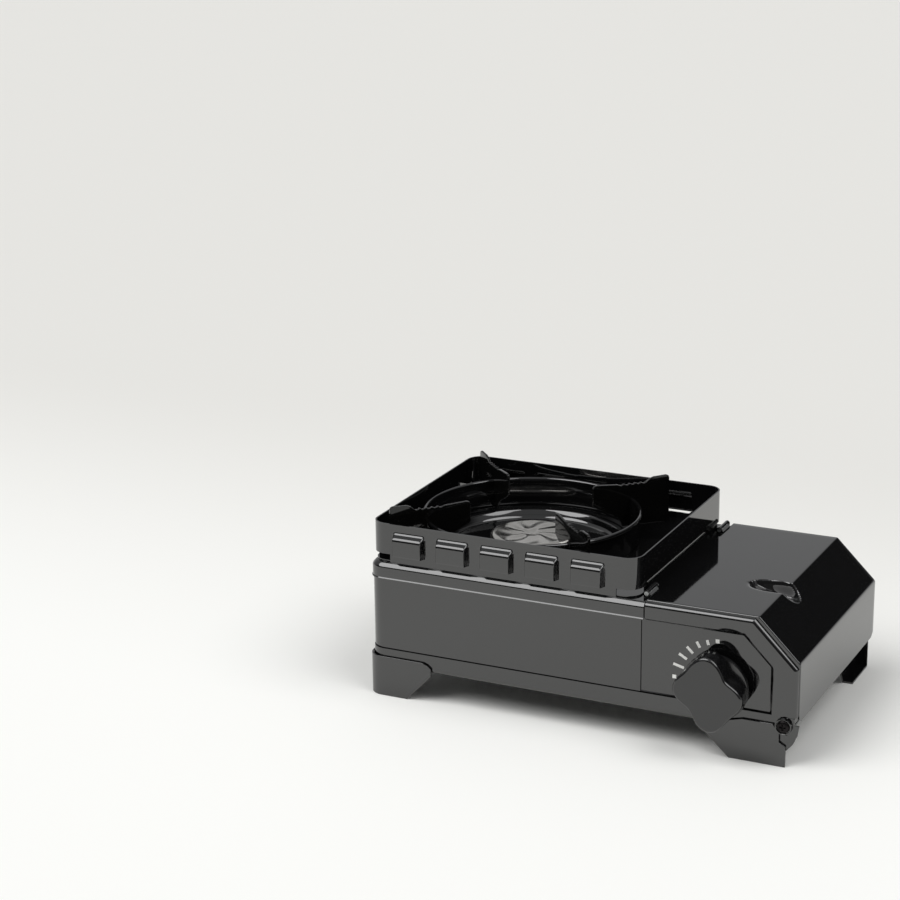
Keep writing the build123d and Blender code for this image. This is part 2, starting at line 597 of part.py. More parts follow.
# socket that takes the canister's mounting cup; the stem enters the seal at its bottom
socket = rod((knob_x, socket_back_y, canister_z), (0, 1, 0), socket_radius, socket_thickness)
socket -= rod((knob_x, socket_face_y - collar_depth, canister_z), (0, 1, 0), collar_radius, collar_depth)
socket -= rod((knob_x, socket_back_y, canister_z), (0, 1, 0), stem_radius, socket_thickness)
seal_radius = 5.0
seal_thickness = 1.5
seal_y = socket_face_y - collar_depth - seal_thickness
socket -= rod((knob_x, seal_y, canister_z), (0, 1, 0), seal_radius, seal_thickness)
magnet_radius = 2.4
magnet_depth = 4.0
magnet_reach = (collar_radius + socket_radius) / 2
magnets = []
for angle in (0, 90, 180, 270):
    turn = math.radians(angle + 45)
    seat = (knob_x + magnet_reach * math.cos(turn), socket_face_y, canister_z + magnet_reach * math.sin(turn))
    socket -= rod(seat, (0, -1, 0), magnet_radius, magnet_depth)
    magnets.append(rod(seat, (0, -1, 0), magnet_radius, magnet_depth))
parts["canister_socket"] = socket
parts["socket_magnets"] = Compound(children=magnets)
parts["socket_seal"] = pipe((knob_x, seal_y, canister_z), (0, 1, 0), seal_radius, stem_radius, seal_thickness)

# key that the notch in the canister's collar fits, so that the canister goes in the right way up
key_z = canister_z + collar_radius + 1.5
parts["canister_key"] = block(knob_x - 2, knob_x + 2, socket_face_y, socket_face_y + 6, key_z, key_z + 4)

# ---------------------------------------------------------------- burner
bracket_half = 22.0
bracket_reach = 32.0
bracket_plate = 1.5
bracket = block(burner_x - bracket_half, burner_x + bracket_half, burner_y - bracket_reach,
                burner_y + bracket_reach, burner_bottom - bracket_plate, burner_bottom)
for side in (-1, 1):
    leg_near, leg_far = sorted((burner_y + side * bracket_reach, burner_y + side * (bracket_reach - bracket_plate)))
    bracket += block(burner_x - bracket_half, burner_x + bracket_half, leg_near, leg_far, floor_top, burner_bottom)

cap_bottom = cap_top - cap_height
bowl = rod((burner_x, burner_y, burner_bottom), (0, 0, 1), burner_radius, cap_bottom - burner_bottom)
bowl = fillet(bowl.faces().sort_by(Axis.Z)[0].edges(), 3)
bowl -= rod((burner_x, burner_y, burner_bottom + 3), (0, 0, 1), burner_radius - 3, cap_bottom)
bowl -= rod((burner_x, burner_y, tube_start[2]), tuple(-c for c in tube_dir), tube_outer, burner_radius + 5)
parts["burner_body"] = bowl

tube_length = tube_span - nozzle_length - 1 - burner_radius + 2.5
tube = pipe(tube_start, tube_dir, tube_outer, tube_outer - tube_wall, tube_length)
horn = pipe(tube_start, tube_dir, tube_outer + 2.5, tube_outer - tube_wall, 1.5)
parts["mixing_tube"] = tube + horn

# cap: a disc with a shallow dip on a hollow skirt, with a ring of slots for the flame
hollow = burner_radius - 3
cap_edge = 2.5
cap_profile = [(0, cap_top - 4), (hollow, cap_top - 2), (hollow, cap_bottom), (cap_radius, cap_bottom),
               (cap_radius, cap_top - cap_edge), (cap_radius - 0.3 * cap_edge, cap_top - 0.3 * cap_edge),
               (cap_radius - cap_edge, cap_top), (hollow - 1, cap_top), (0, cap_top - 2)]
cap_disc = Pos(burner_x, burner_y, 0) * revolve(make_face(Polyline(*[(r, 0, z) for r, z in cap_profile], close=True)),
                                                Axis.Z)
flame_slots = 24
slot_height = 2.6
for index in range(flame_slots):
    turn = 360 / flame_slots * index
    slit = Pos((hollow + cap_radius) / 2, 0, cap_bottom + slot_height) * Box(cap_radius - hollow + 4, 1.6, 1.8)
    cap_disc -= Pos(burner_x, burner_y, 0) * Rot(0, 0, turn) * slit
parts["burner_cap"] = cap_disc

# drip dish: a flange on the top plate, a bowl and a raised collar round the burner
dish_floor = 83.0
dish_profile = [(burner_radius + 1, dish_floor + 3), (burner_radius + 1.8, dish_floor + 3),
                (burner_radius + 5, dish_floor + 0.8), (opening_radius - 10, dish_floor + 0.8),
                (opening_radius - 1.5, deck_top + 0.8), (dish_radius, deck_top + 0.8), (dish_radius, deck_top),
                (opening_radius - 1, deck_top), (opening_radius - 9.6, dish_floor), (burner_radius + 4.6, dish_floor)]
dish_face = make_face(Polyline(*[(r, 0, z) for r, z in dish_profile], close=True))
parts["drip_dish"] = Pos(burner_x, burner_y, 0) * revolve(dish_face, Axis.Z)

# ---------------------------------------------------------------- spark electrode
electrode_turn = math.radians(50)
electrode_reach = cap_radius + 3.2
electrode_x = burner_x + electrode_reach * math.cos(electrode_turn)
electrode_y = burner_y + electrode_reach * math.sin(electrode_turn)
insulator_radius = 2.4
insulator_bottom = burner_bottom
insulator_top = dish_floor - 2
wire_radius = 0.7
parts["electrode_insulator"] = pipe((electrode_x, electrode_y, insulator_bottom), (0, 0, 1), insulator_radius,
                                    wire_radius, insulator_top - insulator_bottom)
wire_path = FilletPolyline((electrode_x, electrode_y, insulator_bottom), (electrode_x, electrode_y, cap_bottom + 3),
                           (electrode_x - 1.3, electrode_y - 1.55, cap_bottom + 3), radius=1)
wire_section = Plane(origin=wire_path @ 0, z_dir=wire_path % 0) * Circle(wire_radius)
parts["spark_electrode"] = sweep(wire_section, path=wire_path)
parts["drip_dish"] -= rod((electrode_x, electrode_y, dish_floor - 1), (0, 0, 1), insulator_radius + 1, 8)

# lead from the igniter, through the partition, to the foot of the electrode
lead_points = [(igniter_left, plunger_y, lead_z), (partition_x - 16, plunger_y, lead_z),
               (partition_x - 50, plunger_y + 30, lead_z - 3), (electrode_x + 12, electrode_y - 22, lead_z - 2),
               (electrode_x, electrode_y, lead_z + 2), (electrode_x, electrode_y, insulator_bottom - bracket_plate - 0.3)]
lead_path = FilletPolyline(*lead_points, radius=[25, 25, 14, 7])
lead_section = Plane(origin=lead_path @ 0, z_dir=lead_path % 0) * Circle(lead_radius)
lead = sweep(lead_section, path=lead_path)
parts["igniter_lead"] = lead
print("lead volume", round(lead.volume, 2), "expected", round(math.pi * lead_radius ** 2 * lead_path.length, 2))
parts["burner_bracket"] = bracket - rod((electrode_x, electrode_y, burner_bottom - 2), (0, 0, 1), wire_radius, 3)

# ---------------------------------------------------------------- heat panel
# aluminium strip that carries warmth from under the burner to a cradle below the canister
cradle_half = math.radians(33)
cradle_drop = cradle_outer * math.cos(cradle_half)
arm_low = floor_top + 1.0
arm_high = arm_low + 1.2
cradle = pipe((knob_x, heat_arm_y - heat_arm_half, canister_z), (0, 1, 0), cradle_outer, canister_radius + cradle_gap,
              2 * heat_arm_half)
cradle &= block(knob_x - cradle_outer * math.sin(cradle_half), knob_x + cradle_outer * math.sin(cradle_half),
                heat_arm_y - heat_arm_half, heat_arm_y + heat_arm_half, floor_top + 0.05, canister_z - cradle_drop + 3)
arm_right = knob_x - cradle_outer * math.sin(cradle_half) + 3
arm_y0 = heat_arm_y - heat_arm_half
arm_y1 = heat_arm_y + heat_arm_half
arm_left = burner_x + 36
cradle += block(arm_left, arm_right, arm_y0, arm_y1, arm_low, arm_high) - rod(
    (knob_x, arm_y0, canister_z), (0, 1, 0), canister_radius + cradle_gap, 2 * heat_arm_half)
cradle += block(arm_left, arm_left + 1.2, arm_y0, arm_y1, arm_low, dish_floor - 4)
cradle += block(arm_left, arm_left + 12, arm_y0, arm_y1, dish_floor - 5.2, dish_floor - 4)
for side in (-1, 1):
    tab_x = knob_x + side * 17
    cradle += block(tab_x - 3, tab_x + 3, arm_y0, arm_y0 + 6, floor_top, floor_top + 3.4) - rod(
        (knob_x, arm_y0, canister_z), (0, 1, 0), canister_radius + cradle_gap, 2 * heat_arm_half)
parts["heat_panel"] = cradle

# ---------------------------------------------------------------- windshields (lift off in one piece)
wall = ring_wall(shield_left, shield_right, shield_front, shield_back, shield_radius, shield_radius, sheet,
                 deck_top, shield_top)
for x in (shield_left, shield_right):
    for y in (shield_front, shield_back):
        side_x = 1 if x == shield_left else -1
        side_y = 1 if y == shield_front else -1
        wall -= block(*sorted((x - side_x, x + side_x * (shield_radius + 4))),
                      *sorted((y - side_y, y + side_y * (shield_radius + 2))), deck_top, deck_top + notch_height)
louvre_low = deck_top + louvre_bottom
louvre_high = louvre_low + louvre_height
for side, face_y in ((-1, shield_front), (1, shield_back)):
    for index in range(louvre_count):
        x = shield_left + louvre_first + index * louvre_pitch
        x0, x1 = x - louvre_width / 2, x + louvre_width / 2
        y_out = face_y + side * louvre_depth
        bump_outline = [(face_y - side * 0.5, louvre_low), (y_out, louvre_low), (y_out, louvre_high - 4.5),
                        (y_out - side * 1.0, louvre_high - 2.5), (face_y - side * 0.5, louvre_high)]
        pocket_outline = [(face_y - side * 2 * sheet, louvre_low - 1), (y_out - side * sheet, louvre_low - 1),
                          (y_out - side * sheet, louvre_high - 5.0), (y_out - side * 1.8, louvre_high - 3.6),
                          (face_y - side * 2 * sheet, louvre_high - 3.0)]
        wall += plate_yz(bump_outline, x0, x1)
        wall -= plate_yz(pocket_outline, x0 + sheet, x1 - sheet) & block(
            x0, x1, *sorted((face_y - side * 2 * sheet, y_out)), louvre_low, louvre_high)
parts["outer_windshield"] = wall

base_plan = plan(shield_left + sheet, shield_right - sheet, shield_front + sheet, shield_back - sheet,
                 shield_radius - sheet, shield_radius - sheet)
base = rise(base_plan, deck_top, deck_top + sheet)
base -= rod((burner_x, burner_y, deck_top), (0, 0, 1), ring_radius + seam, sheet)
base -= block(hinge_x - 4, shield_right, hinge_rear_y - knuckle_length / 2 - 4, shield_back, deck_top, shield_top)
parts["windshield_base"] = base

ring_top = deck_top + ring_height
ring = pipe((burner_x, burner_y, deck_top), (0, 0, 1), ring_radius, ring_radius - sheet, ring_height)
roll_height = 1.6
ring += pipe((burner_x, burner_y, ring_top - roll_height), (0, 0, 1), ring_radius + 0.8, ring_radius - sheet,
             roll_height)
serrations = 5
support_names = ("pot_support_back_right", "pot_support_back_left", "pot_support_front_left",
                 "pot_support_front_right")
serration_depth = 0.8
for index, name in enumerate(support_names):
    low = deck_top + sheet
    mid = height - support_mid_rise
    profile = [(support_inner, low + 16), (ring_radius - 9, low + 6), (ring_radius - 6, low), (support_outer, low),
               (support_outer, height), (support_outer - 12, height - 0.8)]
    tooth = 4.0
    tooth_start = support_outer - 16
    for step in range(serrations):
        profile += [(tooth_start - step * tooth, mid), (tooth_start - (step + 0.5) * tooth, mid - serration_depth)]
    profile += [(tooth_start - serrations * tooth, mid), (support_inner + 3, mid + 1.0), (support_inner, mid - 1.5)]
    blade = plate_xz(profile, -support_plate / 2, support_plate / 2)
    at_angle = Pos(burner_x, burner_y, 0) * Rot(0, 0, 45 + 90 * index)
    parts[name] = at_angle * blade
    ring -= at_angle * block(ring_radius - 5, ring_radius + 5, -support_plate / 2, support_plate / 2, low, ring_top)
parts["inner_windshield"] = ring

# ---------------------------------------------------------------- body screws
# through the top plate's rear skirt and the rear panel, and through the tray's wall into the front panel
side_screw_z = ground_gap + tray_height / 2 + 2
rear_spread = dish_radius - 3
side_spread = shield_half / 2
body_screw_places = [((burner_x + side * rear_spread, back_y, side_screw_z), (0, 1, 0)) for side in (-1, 1)]
body_screw_places += [((body_left, burner_y + 10 + side * side_spread, side_screw_z), (-1, 0, 0)) for side in (-1, 1)]
body_screws = []
for place, direction in body_screw_places:
    group = screws([place], direction, 2.6, 1.2, screw_radius, 2 * sheet + 3)
    body_screws += list(group.children)
    start = tuple(place[i] + direction[i] for i in range(3))
    hole = rod(start, tuple(-c for c in direction), screw_radius + 0.05, 2 * sheet + 5)
    for name in ("base_tray", "rear_panel", "front_panel"):
        parts[name] -= hole
parts["body_screws"] = Compound(children=body_screws)

# ---------------------------------------------------------------- write the pieces
os.makedirs("parts", exist_ok=True)
for name, shape in parts.items():
    export_step(shape, f"parts/{name}.step")
print(len(parts), "nodes written")
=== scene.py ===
import bmesh
import bpy
import math
from mathutils import Matrix, Vector


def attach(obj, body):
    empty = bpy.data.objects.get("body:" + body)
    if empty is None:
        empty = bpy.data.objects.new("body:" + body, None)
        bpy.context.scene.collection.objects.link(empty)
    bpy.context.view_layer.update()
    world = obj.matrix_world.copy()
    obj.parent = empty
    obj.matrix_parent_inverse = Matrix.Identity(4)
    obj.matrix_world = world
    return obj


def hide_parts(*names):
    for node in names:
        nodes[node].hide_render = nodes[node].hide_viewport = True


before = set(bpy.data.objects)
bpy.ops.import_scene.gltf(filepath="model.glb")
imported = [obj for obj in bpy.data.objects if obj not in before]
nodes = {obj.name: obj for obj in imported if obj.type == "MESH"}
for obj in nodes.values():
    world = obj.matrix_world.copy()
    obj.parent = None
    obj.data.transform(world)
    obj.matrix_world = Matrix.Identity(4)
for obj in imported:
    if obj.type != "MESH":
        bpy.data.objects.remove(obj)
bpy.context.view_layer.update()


# ---------------------------------------------------------------- base tray
# The pan that carries everything: pressed steel, dipped and fired in black vitreous enamel.
# The panels are screwed into it and the feet are screwed under it.
MM = 0.001


def linear(hex_colour):
    """An sRGB hex colour as the linear RGBA that a shader takes."""
    values = [int(hex_colour[i:i + 2], 16) / 255 for i in (1, 3, 5)]
    return [v / 12.92 if v <= 0.04045 else ((v + 0.055) / 1.055) ** 2.4 for v in values] + [1.0]


def add(tree, kind, values=None, links=None, **settings):
    """One node with its settings, its input values and the sockets that feed it."""
    made = tree.nodes.new(kind)
    for key, value in settings.items():
        setattr(made, key, value)
    for socket, value in (values or {}).items():
        made.inputs[socket].default_value = value
    for socket, source in (links or {}).items():
        tree.links.new(source, made.inputs[socket])
    return made


def bare_material(name):
    """A material without nodes, with its tree and the place on the piece that its patterns hang on."""
    material = bpy.data.materials.new(name)
    material.use_nodes = True
    tree = material.node_tree
    tree.nodes.clear()
    return material, tree, add(tree, "ShaderNodeTexCoord").outputs["Object"]


def surface(tree, tint, gloss, bump, values):
    """Ends a material: its colour, roughness and bump go into one shader."""
    shader = add(tree, "ShaderNodeBsdfPrincipled", values,
                 {"Base Color": tint.outputs["Result"], "Roughness": gloss.outputs["Result"],
                  "Normal": bump.outputs["Normal"]})
    add(tree, "ShaderNodeOutputMaterial", None, {"Surface": shader.outputs["BSDF"]})


def enamel(name, dark, light, roughness, ior, peel_depth):
    """Fired enamel: a glassy skin that flowed before it set, so its gloss ripples like orange peel."""
    cloud, peel, flow, speck = 18, 1.4, 26, 0.5         # size of each pattern
    flow_depth = 14 * peel_depth
    material, tree, place = bare_material(name)
    clouds, peels, flows, specks = [
        add(tree, "ShaderNodeTexNoise", {"Scale": 1 / (size * MM), "Detail": detail}, {"Vector": place})
        for size, detail in ((cloud, 3.0), (peel, 1.0), (flow, 0.0), (speck, 0.0))]
    tint = add(tree, "ShaderNodeMix", {"A": linear(dark), "B": linear(light)},
               {"Factor": clouds.outputs["Fac"]}, data_type="RGBA")
    gloss = add(tree, "ShaderNodeMapRange",
                {"From Min": 0.3, "From Max": 0.75, "To Min": roughness[0], "To Max": roughness[1]},
                {"Value": specks.outputs["Fac"]})
    waves = add(tree, "ShaderNodeBump", {"Strength": 1.0, "Distance": flow_depth * MM},
                {"Height": flows.outputs["Fac"]})
    bump = add(tree, "ShaderNodeBump", {"Strength": 1.0, "Distance": peel_depth * MM},
               {"Height": peels.outputs["Fac"], "Normal": waves.outputs["Normal"]})
    surface(tree, tint, gloss, bump, {"IOR": ior})
    return material


# glassy black with a trace of grey bloom; mirrors its surroundings at low angles
black_enamel = enamel("black_vitreous_enamel", "#080808", "#0e0e0f", (0.035, 0.075), 1.85, 0.0016)


def wear(node, material):
    """Gives a carried-over part its finish."""
    mesh = nodes[node].data
    mesh.materials.clear()
    mesh.materials.append(material)
    mesh.shade_smooth()
    mesh.set_sharp_from_angle(angle=math.radians(30))


wear("base_tray", black_enamel)


# ---------------------------------------------------------------- front panel
# One sheet that wraps the left corner and runs along the front. On the right a raised frame follows the lid,
# with a sunk field for the dial inside it, and a flange behind it that the lid closes over.
FRONT = -75.5           # front of the tray
LEFT = -141.5           # left side of the tray
SPLIT = 44.3            # right edge of the top plate
TRAY_TOP = 31.5


def rounded_path(corners, steps=8):
    """Points along a polyline whose corners (x, y, radius) are rounded; the ends stay sharp."""
    points = [Vector(corners[0][:2])]
    for before, corner, after in zip(corners, corners[1:], corners[2:]):
        here = Vector(corner[:2])
        back = (Vector(before[:2]) - here).normalized()
        ahead = (Vector(after[:2]) - here).normalized()
        angle = back.angle(ahead)
        reach = corner[2] / math.tan(angle / 2)
        centre = here + (back + ahead).normalized() * corner[2] / math.sin(angle / 2)
        start, end = here + back * reach - centre, here + ahead * reach - centre
        sweep = math.atan2(start.cross(end), start.dot(end))
        for step in range(steps + 1):
            turn = sweep * step / steps
            points.append(centre + Matrix.Rotation(turn, 2) @ start)
    points.append(Vector(corners[-1][:2]))
    return points


def offset_path(points, distance):
    """The same path moved to its left by a distance."""
    sharpest = 0.4          # keeps the point of a sharp bend from running off
    moved = []
    for i, point in enumerate(points):
        before = points[max(i - 1, 0)]
        after = points[min(i + 1, len(points) - 1)]
        one = (point - before).normalized() if i > 0 else (after - point).normalized()
        two = (after - point).normalized() if i < len(points) - 1 else one
        normal = Vector((-(one.y + two.y), one.x + two.x)).normalized()
        share = max(normal.dot(Vector((-one.y, one.x))), sharpest)
        moved.append(point + normal * distance / share)
    return moved


def skin(bm, rows, wrap=False, keep=None):
    """Quads between rows of points, without the ones that keep says no to."""
    made = [[bm.verts.new(point) for point in row] for row in rows]
    for i in range(len(rows) - 1):
        count = len(rows[i])
        for j in range(count if wrap else count - 1):
            if keep is None or keep(i, j):
                k = (j + 1) % count
                bm.faces.new((made[i][j], made[i][k], made[i + 1][k], made[i + 1][j]))


def join(bm, part):
    """Adds one bmesh to another."""
    mesh = bpy.data.meshes.new("part")
    part.to_mesh(mesh)
    part.free()
    bm.from_mesh(mesh)
    bpy.data.meshes.remove(mesh)


def plate(bm, outline, turn, near, far, edge=0.3, segments=2):
    """Flat plate with its edges broken. turn(u, v, depth) puts an outline point in space."""
    part = bmesh.new()
    low = [part.verts.new(turn(u, v, near)) for u, v in outline]
    high = [part.verts.new(turn(u, v, far)) for u, v in outline]
    part.faces.new(low)
    part.faces.new(high[::-1])
    for i in range(len(outline)):
        j = (i + 1) % len(outline)
        part.faces.new((low[j], low[i], high[i], high[j]))
    bmesh.ops.recalc_face_normals(part, faces=part.faces)
    if edge:
        bmesh.ops.bevel(part, geom=list(part.edges), offset=edge, segments=segments, profile=0.6,
                        affect="EDGES")
    join(bm, part)


def along_y(u, v, depth):
    """A plate that stands across Y: its outline is x, z."""
    return (u, depth, v)


def finish_piece(bm, name, material, body, replaced, sheet=0.0, edge=0.0, sharp=35):
    """Turns a bmesh in millimetres into a piece that stands for some nodes.

    sheet is the wall that grows inward, edge rounds its edges, and sharp is the angle that stays an edge."""
    bmesh.ops.remove_doubles(bm, verts=bm.verts, dist=0.001)
    bmesh.ops.recalc_face_normals(bm, faces=bm.faces)
    bm.transform(Matrix.Scale(MM, 4))
    mesh = bpy.data.meshes.new(name)
    bm.to_mesh(mesh)
    bm.free()
    mesh.shade_smooth()
    mesh.set_sharp_from_angle(angle=math.radians(sharp))
    mesh.materials.append(material)
    piece = bpy.data.objects.new(name, mesh)
    bpy.context.scene.collection.objects.link(piece)
    if sheet:
        wall = piece.modifiers.new("sheet", "SOLIDIFY")
        wall.thickness = sheet * MM
        wall.offset = -1
        wall.use_even_offset = True
    if edge:
        worn = piece.modifiers.new("edge", "BEVEL")
        worn.width = edge * MM
        worn.segments = 2
        worn.limit_method = "ANGLE"
        worn.angle_limit = math.radians(50)
        worn.harden_normals = True
    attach(piece, body)
    if replaced:
        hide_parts(*replaced)


# the wall that wraps the corner, just inside the tray's own wall; its left side steps out above the tray
panel_sheet = 1.0
panel_side, panel_face = LEFT + panel_sheet, FRONT + panel_sheet
panel_low, panel_high, panel_end = 22.1, 86.8, 60.0
panel_bend = 9.0
joggle = 0.8
joggle_start, joggle_run = -125.0, 12.0         # the step fades out along the front
field_left, field_right, field_high = 42.5, 124.6, 78.6
field_run, field_fall = 17.7, 17.6              # the slant that cuts its upper right corner
field_sink = 0.5
field_face = panel_face + field_sink


def stepped_x(point, step):
    """A wall point's X with the step on the left side."""
    return point.x - step * min(1.0, max(0.0, (joggle_start - point.x) / joggle_run))


bm = bmesh.new()
outer_line = rounded_path([(panel_side, panel_end, 0), (panel_side, panel_face, panel_bend),
                           (field_left, panel_face, 0)], 10)
inner_line = offset_path(outer_line, panel_sheet)
panel_levels = [(panel_low, 0.0), (TRAY_TOP + 0.2, 0.0), (TRAY_TOP + 1.4, joggle), (panel_high, joggle)]
section = [(outer_line, z, step) for z, step in panel_levels]
section += [(inner_line, z, step) for z, step in reversed(panel_levels)]
section.append(section[0])
skin(bm, [[(stepped_x(p, step), p.y, z) for p in path] for path, z, step in section])

# the field, a sheet behind the frame's window that is narrower where it passes the tray
backing_high, backing_right, backing_foot = 86.0, 138.5, 130.0
backing_ridge, backing_edge = 113.0, 63.8       # where its slanted side starts and ends
backing = [(field_left, panel_low), (field_left, backing_high), (backing_ridge, backing_high),
           (backing_right, backing_edge), (backing_right, TRAY_TOP), (backing_foot, TRAY_TOP),
           (backing_foot, panel_low)]
plate(bm, backing, along_y, field_face, panel_face + panel_sheet, 0.05)

# raised frame: top, shoulder and right strips in one pressing with a broad rounded edge, open at the left
frame_proud, frame_round, frame_bend = 1.5, 3.0, 1.6
frame_face = panel_face - frame_proud
frame_left, frame_right, frame_high = SPLIT + 0.9, 140.8, 89.4
frame_ridge, frame_edge = 113.3, 61.7           # where the shoulder strip starts and ends
frame_corners = [Vector((frame_left, frame_high)), Vector((frame_ridge, frame_high)),
                 Vector((frame_right, frame_edge)), Vector((frame_right, TRAY_TOP))]
flange_inset, flange_back = 2.4, FRONT + 9.0
flange_start = frame_face + frame_round + 0.4


def frame_line(inset):
    """The frame's outline drawn in by an inset, with its two corners rounded."""
    corners = offset_path(frame_corners, -inset)
    return rounded_path([(p.x, p.y, bend) for p, bend in zip(corners, (0, frame_bend, frame_bend, 0))], 4)


frame_rows = [(flange_inset, flange_back), (flange_inset, flange_start), (0.0, flange_start)]
for degrees in (0, 12, 24, 36, 48, 60, 72, 82, 90):
    turn = math.radians(degrees)
    frame_rows.append((frame_round * (1 - math.cos(turn)), frame_face + frame_round * (1 - math.sin(turn))))
skin(bm, [[(p.x, y, p.y) for p in frame_line(inset)] for inset, y in frame_rows])

# its window: walls that slope down to the field, with both edges rounded
window_bend = 2.5
window_line = rounded_path([(frame_left, field_high, 0), (field_right - field_run, field_high, window_bend),
                            (field_right, field_high - field_fall, window_bend),
                            (field_right, TRAY_TOP, 0)], 4)
window_rows = [(1.3, frame_face), (0.95, frame_face + 0.1), (0.7, frame_face + 0.4),
               (-0.3, field_face - 0.35), (-0.55, field_face - 0.1), (-0.9, field_face + 0.02)]
skin(bm, [[(p.x, y, p.y) for p in offset_path(window_line, out)] for out, y in window_rows])
flat = [(p.x, frame_face, p.y) for p in frame_line(frame_round)]
flat += [(p.x, frame_face, p.y) for p in reversed(offset_path(window_line, window_rows[0][0]))]
bm.faces.new([bm.verts.new(point) for point in flat])
finish_piece(bm, "front_panel_sheet", black_enamel, "stove_body", ["front_panel"])

# ---------------------------------------------------------------- rear panel and partition
# The rear panel is the same enamelled sheet, with air slots. The partition and the small brackets are bare
# galvanised sheet, cut and folded after the zinc bath.
wear("rear_panel", black_enamel)


def galvanised(name):
    """Hot-dip zinc on sheet: a dull metal with spangles some 8 mm across."""
    spangle, grain, grain_depth = 8, 0.9, 0.01
    material, tree, place = bare_material(name)
    spangles = add(tree, "ShaderNodeTexVoronoi", {"Scale": 1 / (spangle * MM)}, {"Vector": place})
    grains = add(tree, "ShaderNodeTexNoise", {"Scale": 1 / (grain * MM), "Detail": 4.0}, {"Vector": place})
    spread = add(tree, "ShaderNodeSeparateColor", None, {"Color": spangles.outputs["Color"]})
    tint = add(tree, "ShaderNodeMix", {"A": linear("#8f9292"), "B": linear("#b4b6b5")},
               {"Factor": spread.outputs["Red"]}, data_type="RGBA")
    gloss = add(tree, "ShaderNodeMapRange", {"To Min": 0.38, "To Max": 0.55},
                {"Value": spread.outputs["Green"]})
    bump = add(tree, "ShaderNodeBump", {"Strength": 1.0, "Distance": grain_depth * MM},
               {"Height": grains.outputs["Fac"]})
    surface(tree, tint, gloss, bump, {"Metallic": 1.0})
    return material


# each spangle has its own grey and its own gloss, so the sheet glitters in patches
zinc_plate = galvanised("galvanised_steel_sheet")
for node in ("partition", "burner_bracket", "regulator_cap", "canister_key"):
    wear(node, zinc_plate)

# ---------------------------------------------------------------- top plate
# An inverted pan over the burner box. Its front and left edges are rolled into a bright bead, the skirt laps
# over the panels, and two pairs of ears are lanced up at the right for the lid's hinge pins.
deck = 89.0             # its flat top
skirt, hem, bead = 10.5, 0.5, 3.2
deck_left, deck_front, deck_back = -141.8, -75.8, 85.3
corner = 10.3
burner = Vector((-64.0, 5.0))
opening = 60.5          # radius of the hole over the burner


def divided(points, longest):
    """The same path with its long runs divided."""
    out = [points[0]]
    for one, two in zip(points, points[1:]):
        parts = max(1, math.ceil((two - one).length / longest))
        out += [one.lerp(two, k / parts) for k in range(1, parts + 1)]
    return out


def deck_line(inset):
    """The top plate's edge from the rear right, round the left, to the front right."""
    radius = max(corner - inset, 0.5)
    return rounded_path([(SPLIT, deck_back - inset, 0), (deck_left + inset, deck_back - inset, radius),
                         (deck_left + inset, deck_front + inset, radius), (SPLIT, deck_front + inset, 0)], 10)


# skirt with its lower edge set out, then the bead, as shares of its width inward and downward
bead_curve = [(0.02, 0.92), (0.08, 0.78), (0.17, 0.65), (0.32, 0.47), (0.47, 0.31), (0.62, 0.17),
              (0.78, 0.07), (1.0, 0.0)]
skirt_low = deck - skirt
skirt_rows = [(-hem, skirt_low), (-hem, skirt_low + 0.45), (0.0, skirt_low + 1.05), (0.0, deck - 3.6)]
skirt_rows += [(inward * bead, deck - downward * bead) for inward, downward in bead_curve]
bm = bmesh.new()
skin(bm, [[(p.x, p.y, z) for p in deck_line(inset)] for inset, z in skirt_rows])

# flat between the bead and the round opening, whose edge is turned down; that edge's rows are out, up
mesh_pitch = 6
rim = divided(deck_line(bead), mesh_pitch)
rim += divided([rim[-1], Vector((SPLIT, rim[0].y))], mesh_pitch)[1:-1]
circle = [burner + (p - burner).normalized() * opening for p in rim]
rows = [[(p.x, p.y, deck) for p in rim]]
for out, up in ((1.2, 0.0), (0.5, -0.15), (0.1, -0.5), (0.0, -1.0), (0.0, -3.0)):
    rows.append([(p.x + (p.x - burner.x) / opening * out, p.y + (p.y - burner.y) / opening * out, deck + up)
                 for p in circle])
skin(bm, rows, wrap=True)
finish_piece(bm, "top_plate_pressing", black_enamel, "stove_body", ["top_plate"], sheet=1.0,
             edge=0.2)

# ears for the hinge pins, one on either side of each knuckle and a little narrower than it
hinge_x, hinge_z = 42.8, 91.8
hinge_middles = (-59.0, 70.5)
knuckle_reach, knuckle_length, knuckle_gap = 1.9, 13.0, 0.3
ear, ear_foot = 1.2, deck - 0.5
ear_outline = [(SPLIT - 0.1, ear_foot)]
for degrees in range(0, 181, 20):
    turn = math.radians(degrees)
    ear_outline.append((hinge_x + knuckle_reach * math.cos(turn) * 0.98,
                        hinge_z + knuckle_reach * math.sin(turn)))
ear_outline.append((hinge_x - knuckle_reach, ear_foot))
bm = bmesh.new()
for middle in hinge_middles:
    for side in (-1, 1):
        y = middle + side * (knuckle_length / 2 + knuckle_gap + ear / 2)
        plate(bm, ear_outline, along_y, y - ear / 2, y + ear / 2, 0.25, 2)
finish_piece(bm, "hinge_ears", black_enamel, "stove_body", [])
wear("hinge_pins", zinc_plate)

